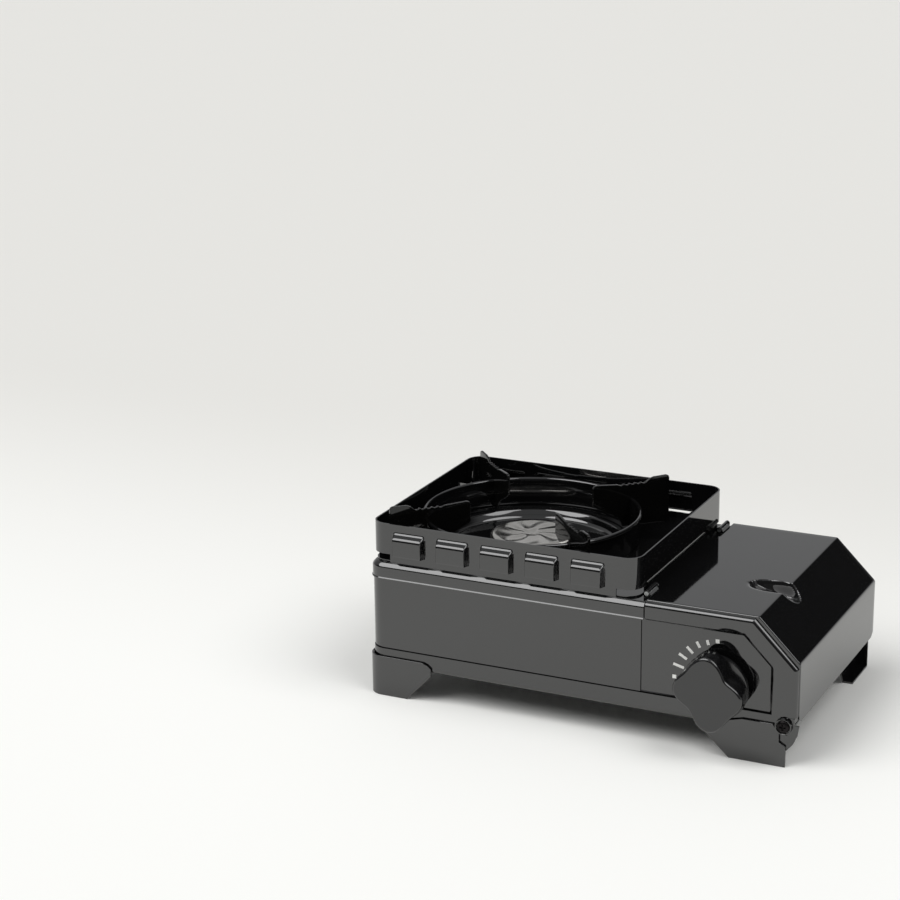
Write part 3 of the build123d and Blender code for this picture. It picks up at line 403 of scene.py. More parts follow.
# ---------------------------------------------------------------- outer windshield
# A wall of thin sheet that stands round the burner, with pressed louvres front and back and its lower corners
# cut away for air. It lifts off with the pot supports.
shield_left, shield_right, shield_front, shield_back = -140.9, 39.3, -72.5, 80.5
shield_radius = 10.0
shield_top, shield_rise = 114.2, 1.2            # its rim gets a little taller toward the back
rim_low = 113.0                                 # the rows above this follow the rise
notch_wide, notch_deep, notch_rows = 14, 12, 2  # the cut corners along X and Y, and the rows that they take
louvre_first, louvre_pitch, louvre_count = -113.6, 30.15, 5
louvre_middles = [louvre_first + louvre_pitch * k for k in range(louvre_count)]
louvre_half, louvre_end, louvre_out = 11.25, 1.8, 4.4   # half length, slope of the two ends, depth
louvre_columns = (0.0, 0.4, 0.75, 1.1, 1.45, 1.8, 3.4)  # lines of the mesh, inward from both ends
louvre_mouth = 2                                # the row that is cut open below each louvre
# how far out the wall stands at each height, as shares of a louvre's depth: steep below, a sloping face above
louvre_levels = [(94.2, 0.0), (94.3, 0.8), (94.5, 0.93), (94.9, 0.985), (95.5, 1.0), (99.0, 1.0),
                 (103.5, 1.0), (104.5, 0.985), (105.3, 0.935), (105.8, 0.875), (106.5, 0.74), (106.65, 0.69),
                 (107.9, 0.24), (108.05, 0.19), (108.75, 0.055), (109.2, 0.015), (110.0, 0.0)]
wall_rows = [(deck, 0.0), (deck + 2.0, 0.0)] + louvre_levels
wall_rows += [(112.4, 0.0), (shield_top - 0.25, 0.0), (shield_top, 0.0)]


def eased(share):
    """0 to 1 with a soft start and a soft end."""
    share = min(1.0, max(0.0, share))
    return share * share * (3 - 2 * share)


def louvre(x):
    """How far out a louvre stands at a place along the wall, from 0 to 1."""
    return eased((louvre_half - min(abs(x - middle) for middle in louvre_middles)) / louvre_end)


def arc(x, y, start, end, steps=10):
    """Points on a corner of the wall."""
    turns = [math.radians(start + (end - start) * k / steps) for k in range(steps + 1)]
    return [Vector((x + shield_radius * math.cos(t), y + shield_radius * math.sin(t))) for t in turns]


def shield_line():
    """The wall's plan, closed, with columns where the louvres and the notches need them."""
    left, right = shield_left + shield_radius, shield_right - shield_radius
    stops = {left, shield_left + notch_wide, shield_right - notch_wide, right}
    for middle in louvre_middles:
        for inward in louvre_columns:
            stops |= {round(middle + side * (louvre_half - inward), 3) for side in (-1, 1)}
    stops = sorted(stops)
    points = [Vector((x, shield_front)) for x in stops]
    points += arc(right, shield_front + shield_radius, -90, 0)
    points += [Vector((shield_right, y)) for y in (shield_front + notch_deep, 0, shield_back - notch_deep)]
    points += arc(right, shield_back - shield_radius, 0, 90)
    points += [Vector((x, shield_back)) for x in reversed(stops)]
    points += arc(left, shield_back - shield_radius, 90, 180)
    points += [Vector((shield_left, y)) for y in (shield_back - notch_deep, 0, shield_front + notch_deep)]
    points += arc(left, shield_front + shield_radius, 180, 270)
    return [p for p, following in zip(points, points[1:] + points[:1]) if (following - p).length > 0.01]


shield_plan = shield_line()


def on_face(y):
    """-1 on the wall's front face, 1 on its back face, and 0 between them."""
    return (y > shield_back - 0.01) - (y < shield_front + 0.01)


def standing(i, j):
    """False where the wall is cut: at its lower corners and below each louvre."""
    middle = (shield_plan[j] + shield_plan[(j + 1) % len(shield_plan)]) / 2
    if i == louvre_mouth and on_face(middle.y):
        return louvre(middle.x) < 0.99
    near_x = middle.x < shield_left + notch_wide or middle.x > shield_right - notch_wide
    near_y = middle.y < shield_front + notch_deep or middle.y > shield_back - notch_deep
    return i >= notch_rows or not (near_x and near_y)


rows = []
for z, out in wall_rows:
    row = []
    for p in shield_plan:
        push = louvre_out * out * louvre(p.x) * on_face(p.y)
        lift = shield_rise * (p.y - shield_front) / (shield_back - shield_front) if z > rim_low else 0.0
        row.append((p.x, p.y + push, z + lift))
    rows.append(row)
bm = bmesh.new()
skin(bm, rows, wrap=True, keep=standing)
finish_piece(bm, "outer_windshield_wall", black_enamel, "windshield", ["outer_windshield"],
             sheet=0.9, edge=0.25)
wear("windshield_base", black_enamel)

# ---------------------------------------------------------------- inner windshield
# A ring of enamelled strip round the flame, welded to the base plate. Its upper edge is rolled outward over
# a wire.
ring_out, ring_in, ring_top = 69.0, 68.0, 109.0
roll = 1.4
roll_z = ring_top - roll


def lathe(bm, profile, centre, steps=96, closed=False, shape=None):
    """Turned part on an upright axis; profile is radius, z. shape(turn, radius, z) may move a point up."""
    rows = []
    for radius, z in profile:
        row = []
        for k in range(steps):
            turn = 2 * math.pi * k / steps
            rise = shape(turn, radius, z) if shape else 0.0
            row.append((centre[0] + radius * math.cos(turn), centre[1] + radius * math.sin(turn), z + rise))
        rows.append(row)
    if closed:
        rows.append(rows[0])
    skin(bm, rows, wrap=True)


ring_profile = [(ring_in, deck), (ring_in, roll_z)]
for degrees in (30, 60, 90, 120, 150, 180, 215, 250):
    turn = math.radians(degrees)
    ring_profile.append((ring_in + roll - roll * math.cos(turn), roll_z + roll * math.sin(turn)))
ring_profile += [(ring_out, roll_z - 1.6), (ring_out, deck)]
bm = bmesh.new()
lathe(bm, ring_profile, burner, 128, closed=True)
finish_piece(bm, "inner_windshield_ring", black_enamel, "windshield", ["inner_windshield"])

# ---------------------------------------------------------------- pot supports
# Four blades of thicker plate, slotted through the ring. Teeth along the middle keep a pan from sliding.
# Their enamel is thinner than the sheet's and mirrors less.
support_in, support_out = 42.0, 96.0            # from the middle of the burner
support_low, support_top, support_middle = deck + 1, 122.0, 119.0
blade = 1.6
tooth_count, tooth_pitch, tooth_depth = 5, 4.0, 0.9

# black, with edges that catch a thin line of light
support_enamel = enamel("black_enamel_on_plate", "#070707", "#0d0d0c", (0.04, 0.08), 1.5, 0.0016)

# from the slanted inner end along the foot, up the outer end, over its horn and back along the teeth
blade_outline = [(support_in, support_low + 16), (ring_out - 9, support_low + 6), (ring_out - 6, support_low),
                 (support_out, support_low), (support_out, support_top - 2.2),
                 (support_out - 0.5, support_top - 0.7), (support_out - 2, support_top),
                 (support_out - 11, support_top - 0.4), (support_out - 14, support_top - 1.4)]
for step in range(tooth_count):
    tooth = support_out - 16 - tooth_pitch * step
    blade_outline += [(tooth, support_middle), (tooth - 1.4, support_middle - tooth_depth),
                      (tooth - 2.6, support_middle - tooth_depth)]
blade_outline += [(support_out - 37, support_middle), (support_in + 3, support_middle + 1.0),
                  (support_in + 0.8, support_middle + 0.4), (support_in, support_middle - 1.5)]


def radial(angle):
    """What stands a plate on a radius of the burner: its outline is the distance from the middle, z."""
    out_x, out_y = math.cos(angle), math.sin(angle)

    def stand(u, v, depth):
        return (burner.x + u * out_x - depth * out_y, burner.y + u * out_y + depth * out_x, v)

    return stand


for index, place in enumerate(("back_right", "back_left", "front_left", "front_right")):
    bm = bmesh.new()
    plate(bm, blade_outline, radial(math.radians(45 + 90 * index)), -blade / 2, blade / 2, 0.42, 3)
    finish_piece(bm, "pot_support_blade_" + place, support_enamel, "windshield", ["pot_support_" + place])

# ---------------------------------------------------------------- burner
# An aluminium bowl and mixing tube under a polished stainless cap, whose top is pressed in waves.
# The drip dish round it is deep-drawn and enamelled.
cap_radius, cap_neck, cap_top, cap_low = 27.0, 17.0, 94.0, 87.0
cap_hub = 4.0           # the plain middle of the cap
petal_count, petal_depth, petal_twist = 8, 0.75, 0.14   # the twist is in radians per millimetre outward


def stainless(name):
    """Polished stainless steel with fine turning lines round the burner's axis."""
    line, smear, line_depth = 2.2, 12, 0.003
    material, tree, place = bare_material(name)
    centred = add(tree, "ShaderNodeMapping", {"Location": (-burner.x * MM, -burner.y * MM, 0)},
                  {"Vector": place})
    lines = add(tree, "ShaderNodeTexWave", {"Scale": 1 / (line * MM), "Distortion": 0.6, "Detail": 2.0},
                {"Vector": centred.outputs["Vector"]}, wave_type="RINGS", rings_direction="Z")
    smears = add(tree, "ShaderNodeTexNoise", {"Scale": 1 / (smear * MM), "Detail": 4.0}, {"Vector": place})
    tint = add(tree, "ShaderNodeMix", {"A": linear("#b9b6b1"), "B": linear("#dcdad6")},
               {"Factor": smears.outputs["Fac"]}, data_type="RGBA")
    gloss = add(tree, "ShaderNodeMapRange",
                {"From Min": 0.3, "From Max": 0.7, "To Min": 0.12, "To Max": 0.24},
                {"Value": smears.outputs["Fac"]})
    bump = add(tree, "ShaderNodeBump", {"Strength": 1.0, "Distance": line_depth * MM},
               {"Height": lines.outputs["Fac"]})
    surface(tree, tint, gloss, bump, {"Metallic": 1.0})
    return material


# bright and clear, with a faint warm cast from the polish
bright_steel = stainless("polished_stainless_steel")


def cap_waves(turn, radius, z):
    """Shallow petals pressed in the cap, which fade out at its middle and its edge."""
    if z < cap_top - 2.4 or radius < cap_hub:
        return 0.0
    band = math.sin(math.pi * min(1.0, max(0.0, (radius - cap_hub) / (cap_radius - 7))))
    return -petal_depth * band * (0.5 + 0.5 * math.cos(petal_count * turn + radius * petal_twist))


# over the top from the middle to the rim, down, and back inside
cap_profile = [(0.01, cap_top - 1.6), (2.5, cap_top - 1.5), (5, cap_top - 0.9)]
cap_profile += [(r, cap_top - 0.25) for r in range(7, 24, 2)]
cap_profile += [(24.6, cap_top - 0.2), (25.8, cap_top - 0.7), (26.6, cap_top - 1.6),
                (cap_radius, cap_top - 2.8), (cap_radius, cap_low),
                (cap_neck, cap_low), (cap_neck, cap_top - 3.4), (0.01, cap_top - 4.2)]
bm = bmesh.new()
lathe(bm, cap_profile, burner, 120, shape=cap_waves)
finish_piece(bm, "burner_cap_pressing", bright_steel, "stove_body", ["burner_cap"])

# the dish: its upper side from the hole to the rim that lies on the top plate, then its underside back
dish_radius, dish_floor = 63.0, 83.0
dish_upper = [(21.0, dish_floor + 3.0), (21.9, dish_floor + 3.2), (23.0, dish_floor + 2.2),
              (25.0, dish_floor + 0.9), (28, dish_floor + 0.8), (46.5, dish_floor + 0.8),
              (53.0, dish_floor + 0.9), (55.2, dish_floor + 1.3), (56.3, dish_floor + 2.1),
              (57.0, dish_floor + 3.3), (58.0, dish_floor + 6.0), (58.6, dish_floor + 6.6),
              (59.8, deck + 0.8), (62.5, deck + 0.8), (dish_radius, deck + 0.5), (dish_radius, deck + 0.02)]
dish_under = [(61.5, deck + 0.02), (59.4, deck - 0.2), (58.6, dish_floor + 5.0), (57.7, dish_floor + 2.4),
              (56.7, dish_floor + 1.1), (55.2, dish_floor + 0.3), (53.0, dish_floor), (46.5, dish_floor),
              (25, dish_floor), (22.5, dish_floor + 1.2), (21.0, dish_floor + 2.4)]
bm = bmesh.new()
lathe(bm, dish_upper + dish_under, burner, 128, closed=True)
finish_piece(bm, "drip_dish_pressing", black_enamel, "stove_body", ["drip_dish"])

# ---------------------------------------------------------------- canister lid
# One sheet folded over the canister: a flat top, a sloping shoulder and a side wall, with narrow lips turned
# in at its front and rear. A scoop for the fingers is pressed across the ridge.
lid_front, lid_back, lid_left, lid_side = -73.1, 84.0, 45.5, 141.3
lid_low, lid_top = 27.5, 90.5
shoulder_x, shoulder_fall = 115.5, 25.6         # where the shoulder starts, and how far it falls
shoulder_slope = math.atan2(shoulder_fall, lid_side - shoulder_x)
lip, lip_bend = 2.9, 0.9
foot_round = 6.0                                # the side wall's lower corners
scoop_left, scoop_right = 90.6, 123.4
scoop_front, scoop_back = -31.5, -9.8
scoop_sag = 3.6
scoop_front_slope, scoop_back_slope = 1.5, 0.22         # as shares of its half width
scoop_start = Vector((scoop_left, lid_top))
scoop_fall = (scoop_right - shoulder_x) * shoulder_fall / (lid_side - shoulder_x)
scoop_end = Vector((scoop_right, lid_top - scoop_fall))


def lid_section(inset, bottom, bend, steps):
    """The lid's line across the stove, drawn in by an inset: x, z points from the left to the lower right."""
    upper = shoulder_x - inset * math.tan(shoulder_slope / 2)
    lower = lid_top - shoulder_fall - inset * math.tan((math.pi / 2 - shoulder_slope) / 2)
    return rounded_path([(lid_left, lid_top - inset, 0), (upper, lid_top - inset, bend),
                         (lid_side - inset, lower, bend), (lid_side - inset, bottom, 0)], steps)


def shares(one, two, count):
    """Points after the first on the way to the second."""
    return [one.lerp(two, k / count) for k in range(1, count + 1)]


def lid_line(inset, bottom):
    """The lid across the stove at one place along it: always as many points, most of them round the scoop."""
    steps = 6
    line = lid_section(inset, bottom, 2.4 if inset < 2 else 1.2, steps)
    start, ridge, edge, end = line[0], line[1:steps + 2], line[steps + 2:-1], line[-1]
    before_scoop = start.lerp(ridge[0], (scoop_left - 2 - lid_left) / (ridge[0].x - lid_left))
    return ([start] + shares(start, before_scoop, 6) + shares(before_scoop, ridge[0], 22) + ridge[1:]
            + shares(ridge[-1], edge[0], 30) + edge[1:] + shares(edge[-1], end, 10))


def scooped(point, y):
    """A point of the lid pressed into the scoop: gentle in front, steep at the back, rounded at both ends."""
    chord = scoop_end - scoop_start
    share = (point - scoop_start).dot(chord) / chord.length_squared
    if share <= 0 or share >= 1:
        return point
    fullness = 1 - abs(2 * share - 1) ** 3
    half = (scoop_back - scoop_front) / 2 * fullness ** 0.5
    along = (y - (scoop_front + scoop_back) / 2) / half
    if abs(along) >= 1:
        return point
    down = Vector((chord.y, -chord.x)).normalized()
    target = scoop_start + chord * share + down * scoop_sag * fullness
    return point.lerp(target, eased((1 + along) / scoop_front_slope) * eased((1 - along) / scoop_back_slope))


def lid_end(y):
    """Lowest point of the side wall, which is rounded off at its front and rear."""
    near = min(y - lid_front, lid_back - y)
    if near >= foot_round:
        return lid_low
    return lid_low + foot_round - math.sqrt(max(0.0, foot_round ** 2 - (foot_round - near) ** 2))


# lines along the lid: the front lip round its bend, the flat, the scoop with its steep rear, and the rear lip
bent_lip = [(lip, 0.0)]
for degrees in (0, 15, 30, 45, 60, 75, 90):
    turn = math.radians(degrees)
    bent_lip.append((lip_bend * (1 - math.sin(turn)), lip_bend * (1 - math.cos(turn))))
scoop_from, steep_from = scoop_front - 0.2, scoop_front + 14.1
stations = [(inset, lid_front + back) for inset, back in bent_lip]
stations += [(0.0, lid_front + back) for back in (2, 3.5, 5, 8, 14, 22, 30, 37)]
stations += [(0.0, scoop_from + 0.7 * k) for k in range(21)]
stations += [(0.0, steep_from + 0.3 * k) for k in range(27)]
stations += [(0.0, y) for y in (-8, -4, 6, 18, 30, 42, 54, 66, 76, 79)]
stations += [(inset, lid_back - forward) for inset, forward in reversed(bent_lip)]
rows = []
for inset, y in stations:
    low = max(lid_end(y), lid_end(lid_front + inset) if inset else 0.0)
    rows.append([(p.x, y, p.y) for p in (scooped(q, y) for q in lid_line(inset, low))])
bm = bmesh.new()
skin(bm, rows)
finish_piece(bm, "canister_lid_pressing", black_enamel, "lid", ["canister_lid"],
             sheet=1.0, edge=0.12)

# knuckles rolled from straps that are welded under the lid's edge
strap = 1.0
curl_radius = 1.35
strap_z = lid_top - 1.6
strap_path = []
for degrees in range(-330, -29, 20):
    turn = math.radians(degrees)
    strap_path.append(Vector((hinge_x + curl_radius * math.cos(turn),
                              hinge_z + curl_radius * math.sin(turn))))
strap_path += [Vector((lid_left - 0.2, strap_z)), Vector((lid_left + 11, strap_z))]
strap_lower, strap_upper = offset_path(strap_path, -strap / 2), offset_path(strap_path, strap / 2)
bm = bmesh.new()
for middle in hinge_middles:
    near, far = middle - knuckle_length / 2, middle + knuckle_length / 2
    for one, two in ((near, near + strap), (near + strap, far - strap), (far - strap, far)):
        loop = ((one, strap_lower), (one, strap_upper), (two, strap_upper), (two, strap_lower),
                (one, strap_lower))
        skin(bm, [[(p.x, y, p.y) for p in path] for y, path in loop])
finish_piece(bm, "hinge_strap_knuckles", black_enamel, "lid", ["hinge_straps"],
             edge=0.15)

# ---------------------------------------------------------------- control knob
# Moulded in black glass-filled plastic, with four lobes for the fingers and a round neck. It turns on the
# brass spindle of the regulator.
knob_x, knob_z = 92.0, 45.5
knob_face, knob_depth = -96.5, 17.0
lobe_mean, knob_round = 19.9, 1.9
lobe_height = 2.5
lobe_skew = (0.9, 1.8)      # makes the scallops at the upper right and lower left deeper than the others
disc_radius, disc_depth = 20.5, 3.0
neck_radius, neck_end = 14.0, -74.6


def finish(name, dark, light, roughness, cloud_mm, grain_mm, grain_depth, **values):
    """The common finish: a tint and a gloss that drift, and a fine grain that catches the light."""
    material, tree, place = bare_material(name)
    clouds = add(tree, "ShaderNodeTexNoise", {"Scale": 1 / (cloud_mm * MM), "Detail": 4.0}, {"Vector": place})
    grains = add(tree, "ShaderNodeTexNoise", {"Scale": 1 / (grain_mm * MM), "Detail": 2.0}, {"Vector": place})
    tint = add(tree, "ShaderNodeMix", {"A": linear(dark), "B": linear(light)},
               {"Factor": clouds.outputs["Fac"]}, data_type="RGBA")
    gloss = add(tree, "ShaderNodeMapRange",
                {"From Min": 0.3, "From Max": 0.7, "To Min": roughness[0], "To Max": roughness[1]},
                {"Value": clouds.outputs["Fac"]})
    bump = add(tree, "ShaderNodeBump", {"Strength": 1.0, "Distance": grain_depth * MM},
               {"Height": grains.outputs["Fac"]})
    surface(tree, tint, gloss, bump, values)
    return material


# moulded nylon, eroded tool finish: a soft sheen that breaks up into fine sparks
knob_plastic = finish("black_moulded_nylon", "#0a0a0b", "#101011", (0.15, 0.2), 9.0, 0.35, 0.003, IOR=1.7)


def lobed(reach, y, steps=192):
    """One ring of the knob's grip, with its four lobes."""
    fade = reach / lobe_mean
    row = []
    for k in range(steps):
        turn = 2 * math.pi * k / steps
        skew = lobe_skew[0] * math.cos(2 * turn) + lobe_skew[1] * math.sin(2 * turn)
        radius = reach + (lobe_height * math.cos(4 * turn) - skew) * fade
        row.append((knob_x + radius * math.cos(turn), y, knob_z + radius * math.sin(turn)))
    return row


def round_ring(radius, y, steps=144):
    """One ring of the disc and neck."""
    turns = [2 * math.pi * k / steps for k in range(steps)]
    return [(knob_x + radius * math.cos(turn), y, knob_z + radius * math.sin(turn)) for turn in turns]


# the grip from the middle of its face round the edge to the disc, as reach and depth behind the face
disc_from = knob_depth - disc_depth
grip_rows = [(0.01, 0.0), (8, 0.0), (15, 0.0)]
for degrees in (0, 12, 25, 38, 51, 64, 77, 90):
    turn = math.radians(degrees)
    grip_rows.append((lobe_mean - knob_round * (1 - math.sin(turn)), knob_round * (1 - math.cos(turn))))
grip_rows += [(lobe_mean, 4.0), (lobe_mean, 8.0), (lobe_mean, disc_from - 0.6), (lobe_mean - 0.3, disc_from),
              (5, disc_from)]
bm = bmesh.new()
skin(bm, [lobed(reach, knob_face + depth) for reach, depth in grip_rows], wrap=True)
# round disc and neck behind the lobes
disc_face, disc_back = knob_face + disc_from, knob_face + knob_depth
disc_rows = [(5.0, disc_face), (disc_radius - 0.5, disc_face), (disc_radius - 0.15, disc_face + 0.15),
             (disc_radius, disc_face + 0.5), (disc_radius, disc_back - 0.5), (disc_radius - 0.5, disc_back),
             (neck_radius, disc_back), (neck_radius, neck_end), (3.0, neck_end)]
skin(bm, [round_ring(radius, y) for radius, y in disc_rows], wrap=True)
finish_piece(bm, "control_knob_moulding", knob_plastic, "knob", ["control_knob"], sharp=40)

# ---------------------------------------------------------------- dial marks
# A plain scale printed round the knob in white ink: a square at each end and five marks that get shorter.
# Each mark: middle x, z, length along its radius, width.
dial_marks = [(63.9, 44.8, 2.4, 2.4), (66.5, 52.1, 7.0, 1.7), (69.1, 58.5, 5.8, 1.7), (73.4, 63.3, 5.3, 1.7),
              (78.6, 67.5, 4.1, 1.7), (84.5, 69.8, 3.2, 1.7), (90.5, 71.5, 2.4, 2.4)]
ink = 0.03

# opaque and nearly matt, a warm white
white_ink = finish("white_screen_print", "#e4e4e0", "#f2f2ef", (0.5, 0.62), 4.0, 0.4, 0.006, IOR=1.45)

bm = bmesh.new()
for x, z, length, thick in dial_marks:
    middle = Vector((x, z))
    out = (middle - Vector((knob_x, knob_z))).normalized()
    across = Vector((-out.y, out.x))
    outline = [tuple(middle + out * a * length / 2 + across * b * thick / 2)
               for a, b in ((-1, -1), (1, -1), (1, 1), (-1, 1))]
    plate(bm, outline, along_y, field_face - ink, field_face, 0)
finish_piece(bm, "dial_marks_print", white_ink, "stove_body", [])

# ---------------------------------------------------------------- feet
# Enamelled strip, screwed under the tray. At the front left it wraps the corner, at the front right a slanted
# plate carries a boss and a gusset, and at the rear angle brackets reach out behind.
RIGHT = 143.0           # outermost right of the body
GROUND_GAP = 20.0       # underside of the tray
foot_proud = 1.5
foot_side, foot_face = LEFT - foot_proud, FRONT - foot_proud
foot_top = 26.5
sole = 1.2
toe_x, heel_y = -97.5, -38.0        # where the strip ends along the front and along the side


def along_x(u, v, depth):
    """A plate that stands across X: its outline is y, z."""
    return (depth, u, v)


def along_z(u, v, depth):
    """A plate that lies flat: its outline is x, y."""
    return (u, v, depth)


# front left strip: both ends are cut on a slant below, and its upper corners droop
slant_height, front_slant, side_slant = 18.0, 17.0, 15.0
droop, droop_run = 3.4, 7.0
strip_rows = 9
strip = rounded_path([(toe_x, foot_face, 0), (foot_side, foot_face, corner), (foot_side, heel_y, 0)], 12)
strip = divided(strip, 3.0)
lengths = [0.0]
for one, two in zip(strip, strip[1:]):
    lengths.append(lengths[-1] + (two - one).length)
spans = []
for gone in lengths:
    left_over = lengths[-1] - gone
    nearest = min(gone, left_over)
    slant = front_slant if gone < left_over else side_slant
    spans.append((slant_height * max(0.0, 1 - nearest / slant),
                  foot_top - droop * (1 - min(1.0, nearest / droop_run)) ** 2))
bm = bmesh.new()
skin(bm, [[(p.x, p.y, low + (high - low) * row / (strip_rows - 1)) for p, (low, high) in zip(strip, spans)]
          for row in range(strip_rows)])
finish_piece(bm, "front_left_foot_strip", black_enamel, "stove_body", ["foot_front_left"],
             sheet=1.0, edge=0.25)

# its sole, an inner rib and the flange that takes the screws
inner_face, inner_side, sole_back = foot_face + 0.6, foot_side + 0.6, heel_y - 17
rib_x = toe_x - 30
bm = bmesh.new()
plate(bm, [(foot_side + 8, inner_face), (toe_x - 19, inner_face), (toe_x - 21, sole_back),
           (inner_side, sole_back), (inner_side, foot_face + 8), (foot_side + 3, foot_face + 3)],
      along_z, 0.0, sole, 0.2)
plate(bm, [(foot_face + 0.5, 0.2), (sole_back, 0.2), (sole_back, GROUND_GAP - 0.1),
           (foot_face + 0.5, GROUND_GAP - 0.1)], along_x, rib_x, rib_x + 1.2, 0.2)
plate(bm, [(LEFT + 4.5, FRONT + 9), (LEFT + 9, FRONT + 3), (toe_x - 12, FRONT + 3), (toe_x - 8, FRONT + 7),
           (toe_x - 8, heel_y - 12), (toe_x - 12, heel_y - 8), (LEFT + 8, heel_y - 8),
           (LEFT + 4.5, heel_y - 12)], along_z, GROUND_GAP - sole, GROUND_GAP, 0.2)
finish_piece(bm, "front_left_foot_flanges", black_enamel, "stove_body", [])

# front right plate with its notch, slanted on the left, and the gusset that fills the corner under the lid
plate_left, plate_right, slant_left = 99.8, 134.8, 79.8
notch_x = plate_right - 4.2
boss_x, boss_z, boss_radius = 133.3, 26.0, 5.2
gusset_left, gusset_right = 135.3, RIGHT - lip - 0.6
bm = bmesh.new()
plate(bm, [(plate_left, 0), (plate_right, 0), (plate_right, 13.0), (notch_x, 15.5), (notch_x, 21.0),
           (plate_right - 8, foot_top), (plate_right - 27, foot_top), (plate_right - 38, foot_top - 2.8),
           (slant_left + 3, GROUND_GAP + 0.5), (slant_left, GROUND_GAP - 1.5)],
      along_y, foot_face, FRONT - 0.02, 0.35, 3)
plate(bm, [(gusset_left, TRAY_TOP - 0.3), (gusset_right, TRAY_TOP - 0.3), (gusset_right, lid_low - 0.5),
           (RIGHT - 0.5, lid_low - 0.5), (RIGHT - 1.6, 20.5), (RIGHT - 4.3, 14.5), (plate_right - 0.4, 9.6),
           (123.0, 9.6), (123.0, GROUND_GAP - 0.01), (gusset_left, GROUND_GAP - 0.01)],
      along_y, FRONT, FRONT + 1.0, 0.2)
# its rib, sole and flange
rib_x = plate_right - 20
plate(bm, [(FRONT, 0), (FRONT + 22, 0), (FRONT + 30.5, 13), (FRONT + 30.5, GROUND_GAP - 0.1),
           (FRONT, GROUND_GAP - 0.1)], along_x, rib_x, rib_x + 1.0, 0.2)
plate(bm, [(plate_left + 2, foot_face + 0.5), (plate_right - 1, foot_face + 0.5),
           (plate_right - 7, FRONT + 9), (plate_left + 2, FRONT + 9)], along_z, 0.02, sole, 0.2)
plate(bm, [(plate_right - 25, FRONT + 1), (plate_right, FRONT + 1), (plate_right, FRONT + 27.5),
           (plate_right - 25, FRONT + 27.5)], along_z, GROUND_GAP - sole, GROUND_GAP, 0.2)


def turned_part(bm, profile, centre, direction, steps=40, shape=None):
    """Round part along any direction; profile is radius, height. shape() may move a point as in lathe()."""
    part = bmesh.new()
    lathe(part, profile, (0, 0), steps, shape=shape)
    spin = Vector((0, 0, 1)).rotation_difference(Vector(direction)).to_matrix().to_4x4()
    part.transform(Matrix.Translation(Vector(centre)) @ spin)
    join(bm, part)


# its boss: a cup with a rounded rim that the screw's head sits in
boss_face = foot_face - 1.2
boss_profile = [(0.01, -0.9), (boss_radius - 0.95, -0.9), (boss_radius - 0.9, -0.15),
                (boss_radius - 0.75, 0.0), (boss_radius - 0.45, 0.0), (boss_radius - 0.12, -0.15),
                (boss_radius, -0.5), (boss_radius, -2.4)]
turned_part(bm, boss_profile, (boss_x, boss_face, boss_z), (0, -1, 0))
finish_piece(bm, "front_right_foot_plate", black_enamel, "stove_body", ["foot_front_right"])
for node in ("foot_rear_right", "foot_rear_left"):
    wear(node, black_enamel)

# ---------------------------------------------------------------- screws
# Pan-head screws with a cross recess, blackened in a chemical bath: six in the feet, four in the panels.
recess_depth, recess_reach, recess_arm = 0.9, 1.9, 0.42
# a domed head from its middle to its rim, as shares of its radius and height
pan_head = [(0.12, 1.0), (0.2, 1.0), (0.3, 0.99), (0.4, 0.97), (0.5, 0.94), (0.58, 0.91), (0.66, 0.86),
            (0.8, 0.72), (0.9, 0.52), (0.97, 0.26), (1.0, 0.02), (0.5, 0.0)]

# a dark grey-brown that is dull next to the enamel
black_oxide = finish("black_oxide_steel", "#1b1a1b", "#2c2a2a", (0.28, 0.42), 3.0, 0.3, 0.004, Metallic=1.0)


def cross_recess(turn, radius, height):
    """Presses the four arms of the driver's cross into a screw head."""
    arm = abs((turn + math.pi / 4) % (math.pi / 2) - math.pi / 4) * radius
    if height < 0.4 or radius > recess_reach:
        return 0.0
    return -recess_depth if arm < recess_arm or radius < 0.5 else 0.0


def screw_head(bm, place, direction, radius=3.2, height=1.6):
    """One pan head seated at a place."""
    profile = [(0.01, height)] + [(radius * share, height * rise) for share, rise in pan_head]
    turned_part(bm, profile, place, direction, 48, cross_recess)


bm = bmesh.new()
for x, y in ((toe_x - 22, FRONT + 12), (LEFT + 8.5, heel_y - 18), (plate_right - 14, FRONT + 20),
             (116.0, 70.0), (-116.0, 70.0)):
    screw_head(bm, (x, y, GROUND_GAP - sole), (0, 0, -1))
screw_head(bm, (boss_x, boss_face + 0.85, boss_z), (0, -1, 0), 4.0, 1.5)
finish_piece(bm, "foot_screw_heads", black_oxide, "stove_body", ["foot_screws"])
wear("body_screws", black_oxide)

# ---------------------------------------------------------------- gas fittings and igniter
# Die-cast regulator and canister socket, brass jet and spindle, a moulded piezo igniter with its silicone
# lead, and an aluminium sheet that carries heat to the canister. Most of this is hidden in the body.

# a matt grey with the grain of the die
cast_aluminium = finish("die_cast_aluminium", "#8d8e8e", "#a9aaab", (0.42, 0.6), 5.0, 0.5, 0.03, Metallic=1.0)
# paler and smoother, with long soft highlights
rolled_aluminium = finish("rolled_aluminium", "#b3b5b6", "#c9cacb", (0.25, 0.38), 14.0, 0.4, 0.006,
                          Metallic=1.0)
# yellow and fairly bright from the tool
brass = finish("turned_brass", "#b08a3e", "#c9a557", (0.22, 0.34), 4.0, 0.3, 0.006, Metallic=1.0)
# a waxy black
igniter_plastic = finish("black_moulded_acetal", "#171718", "#202022", (0.3, 0.42), 6.0, 0.4, 0.01, IOR=1.48)
# a bright plated grey
magnet_plating = finish("nickel_plated_magnet", "#9d9d9c", "#b9b9b7", (0.2, 0.32), 3.0, 0.3, 0.003,
                        Metallic=1.0)
# matt black rubber that scatters what light it gets
seal_rubber = finish("nitrile_rubber", "#121212", "#1b1b1b", (0.6, 0.75), 3.0, 0.3, 0.012, IOR=1.5)
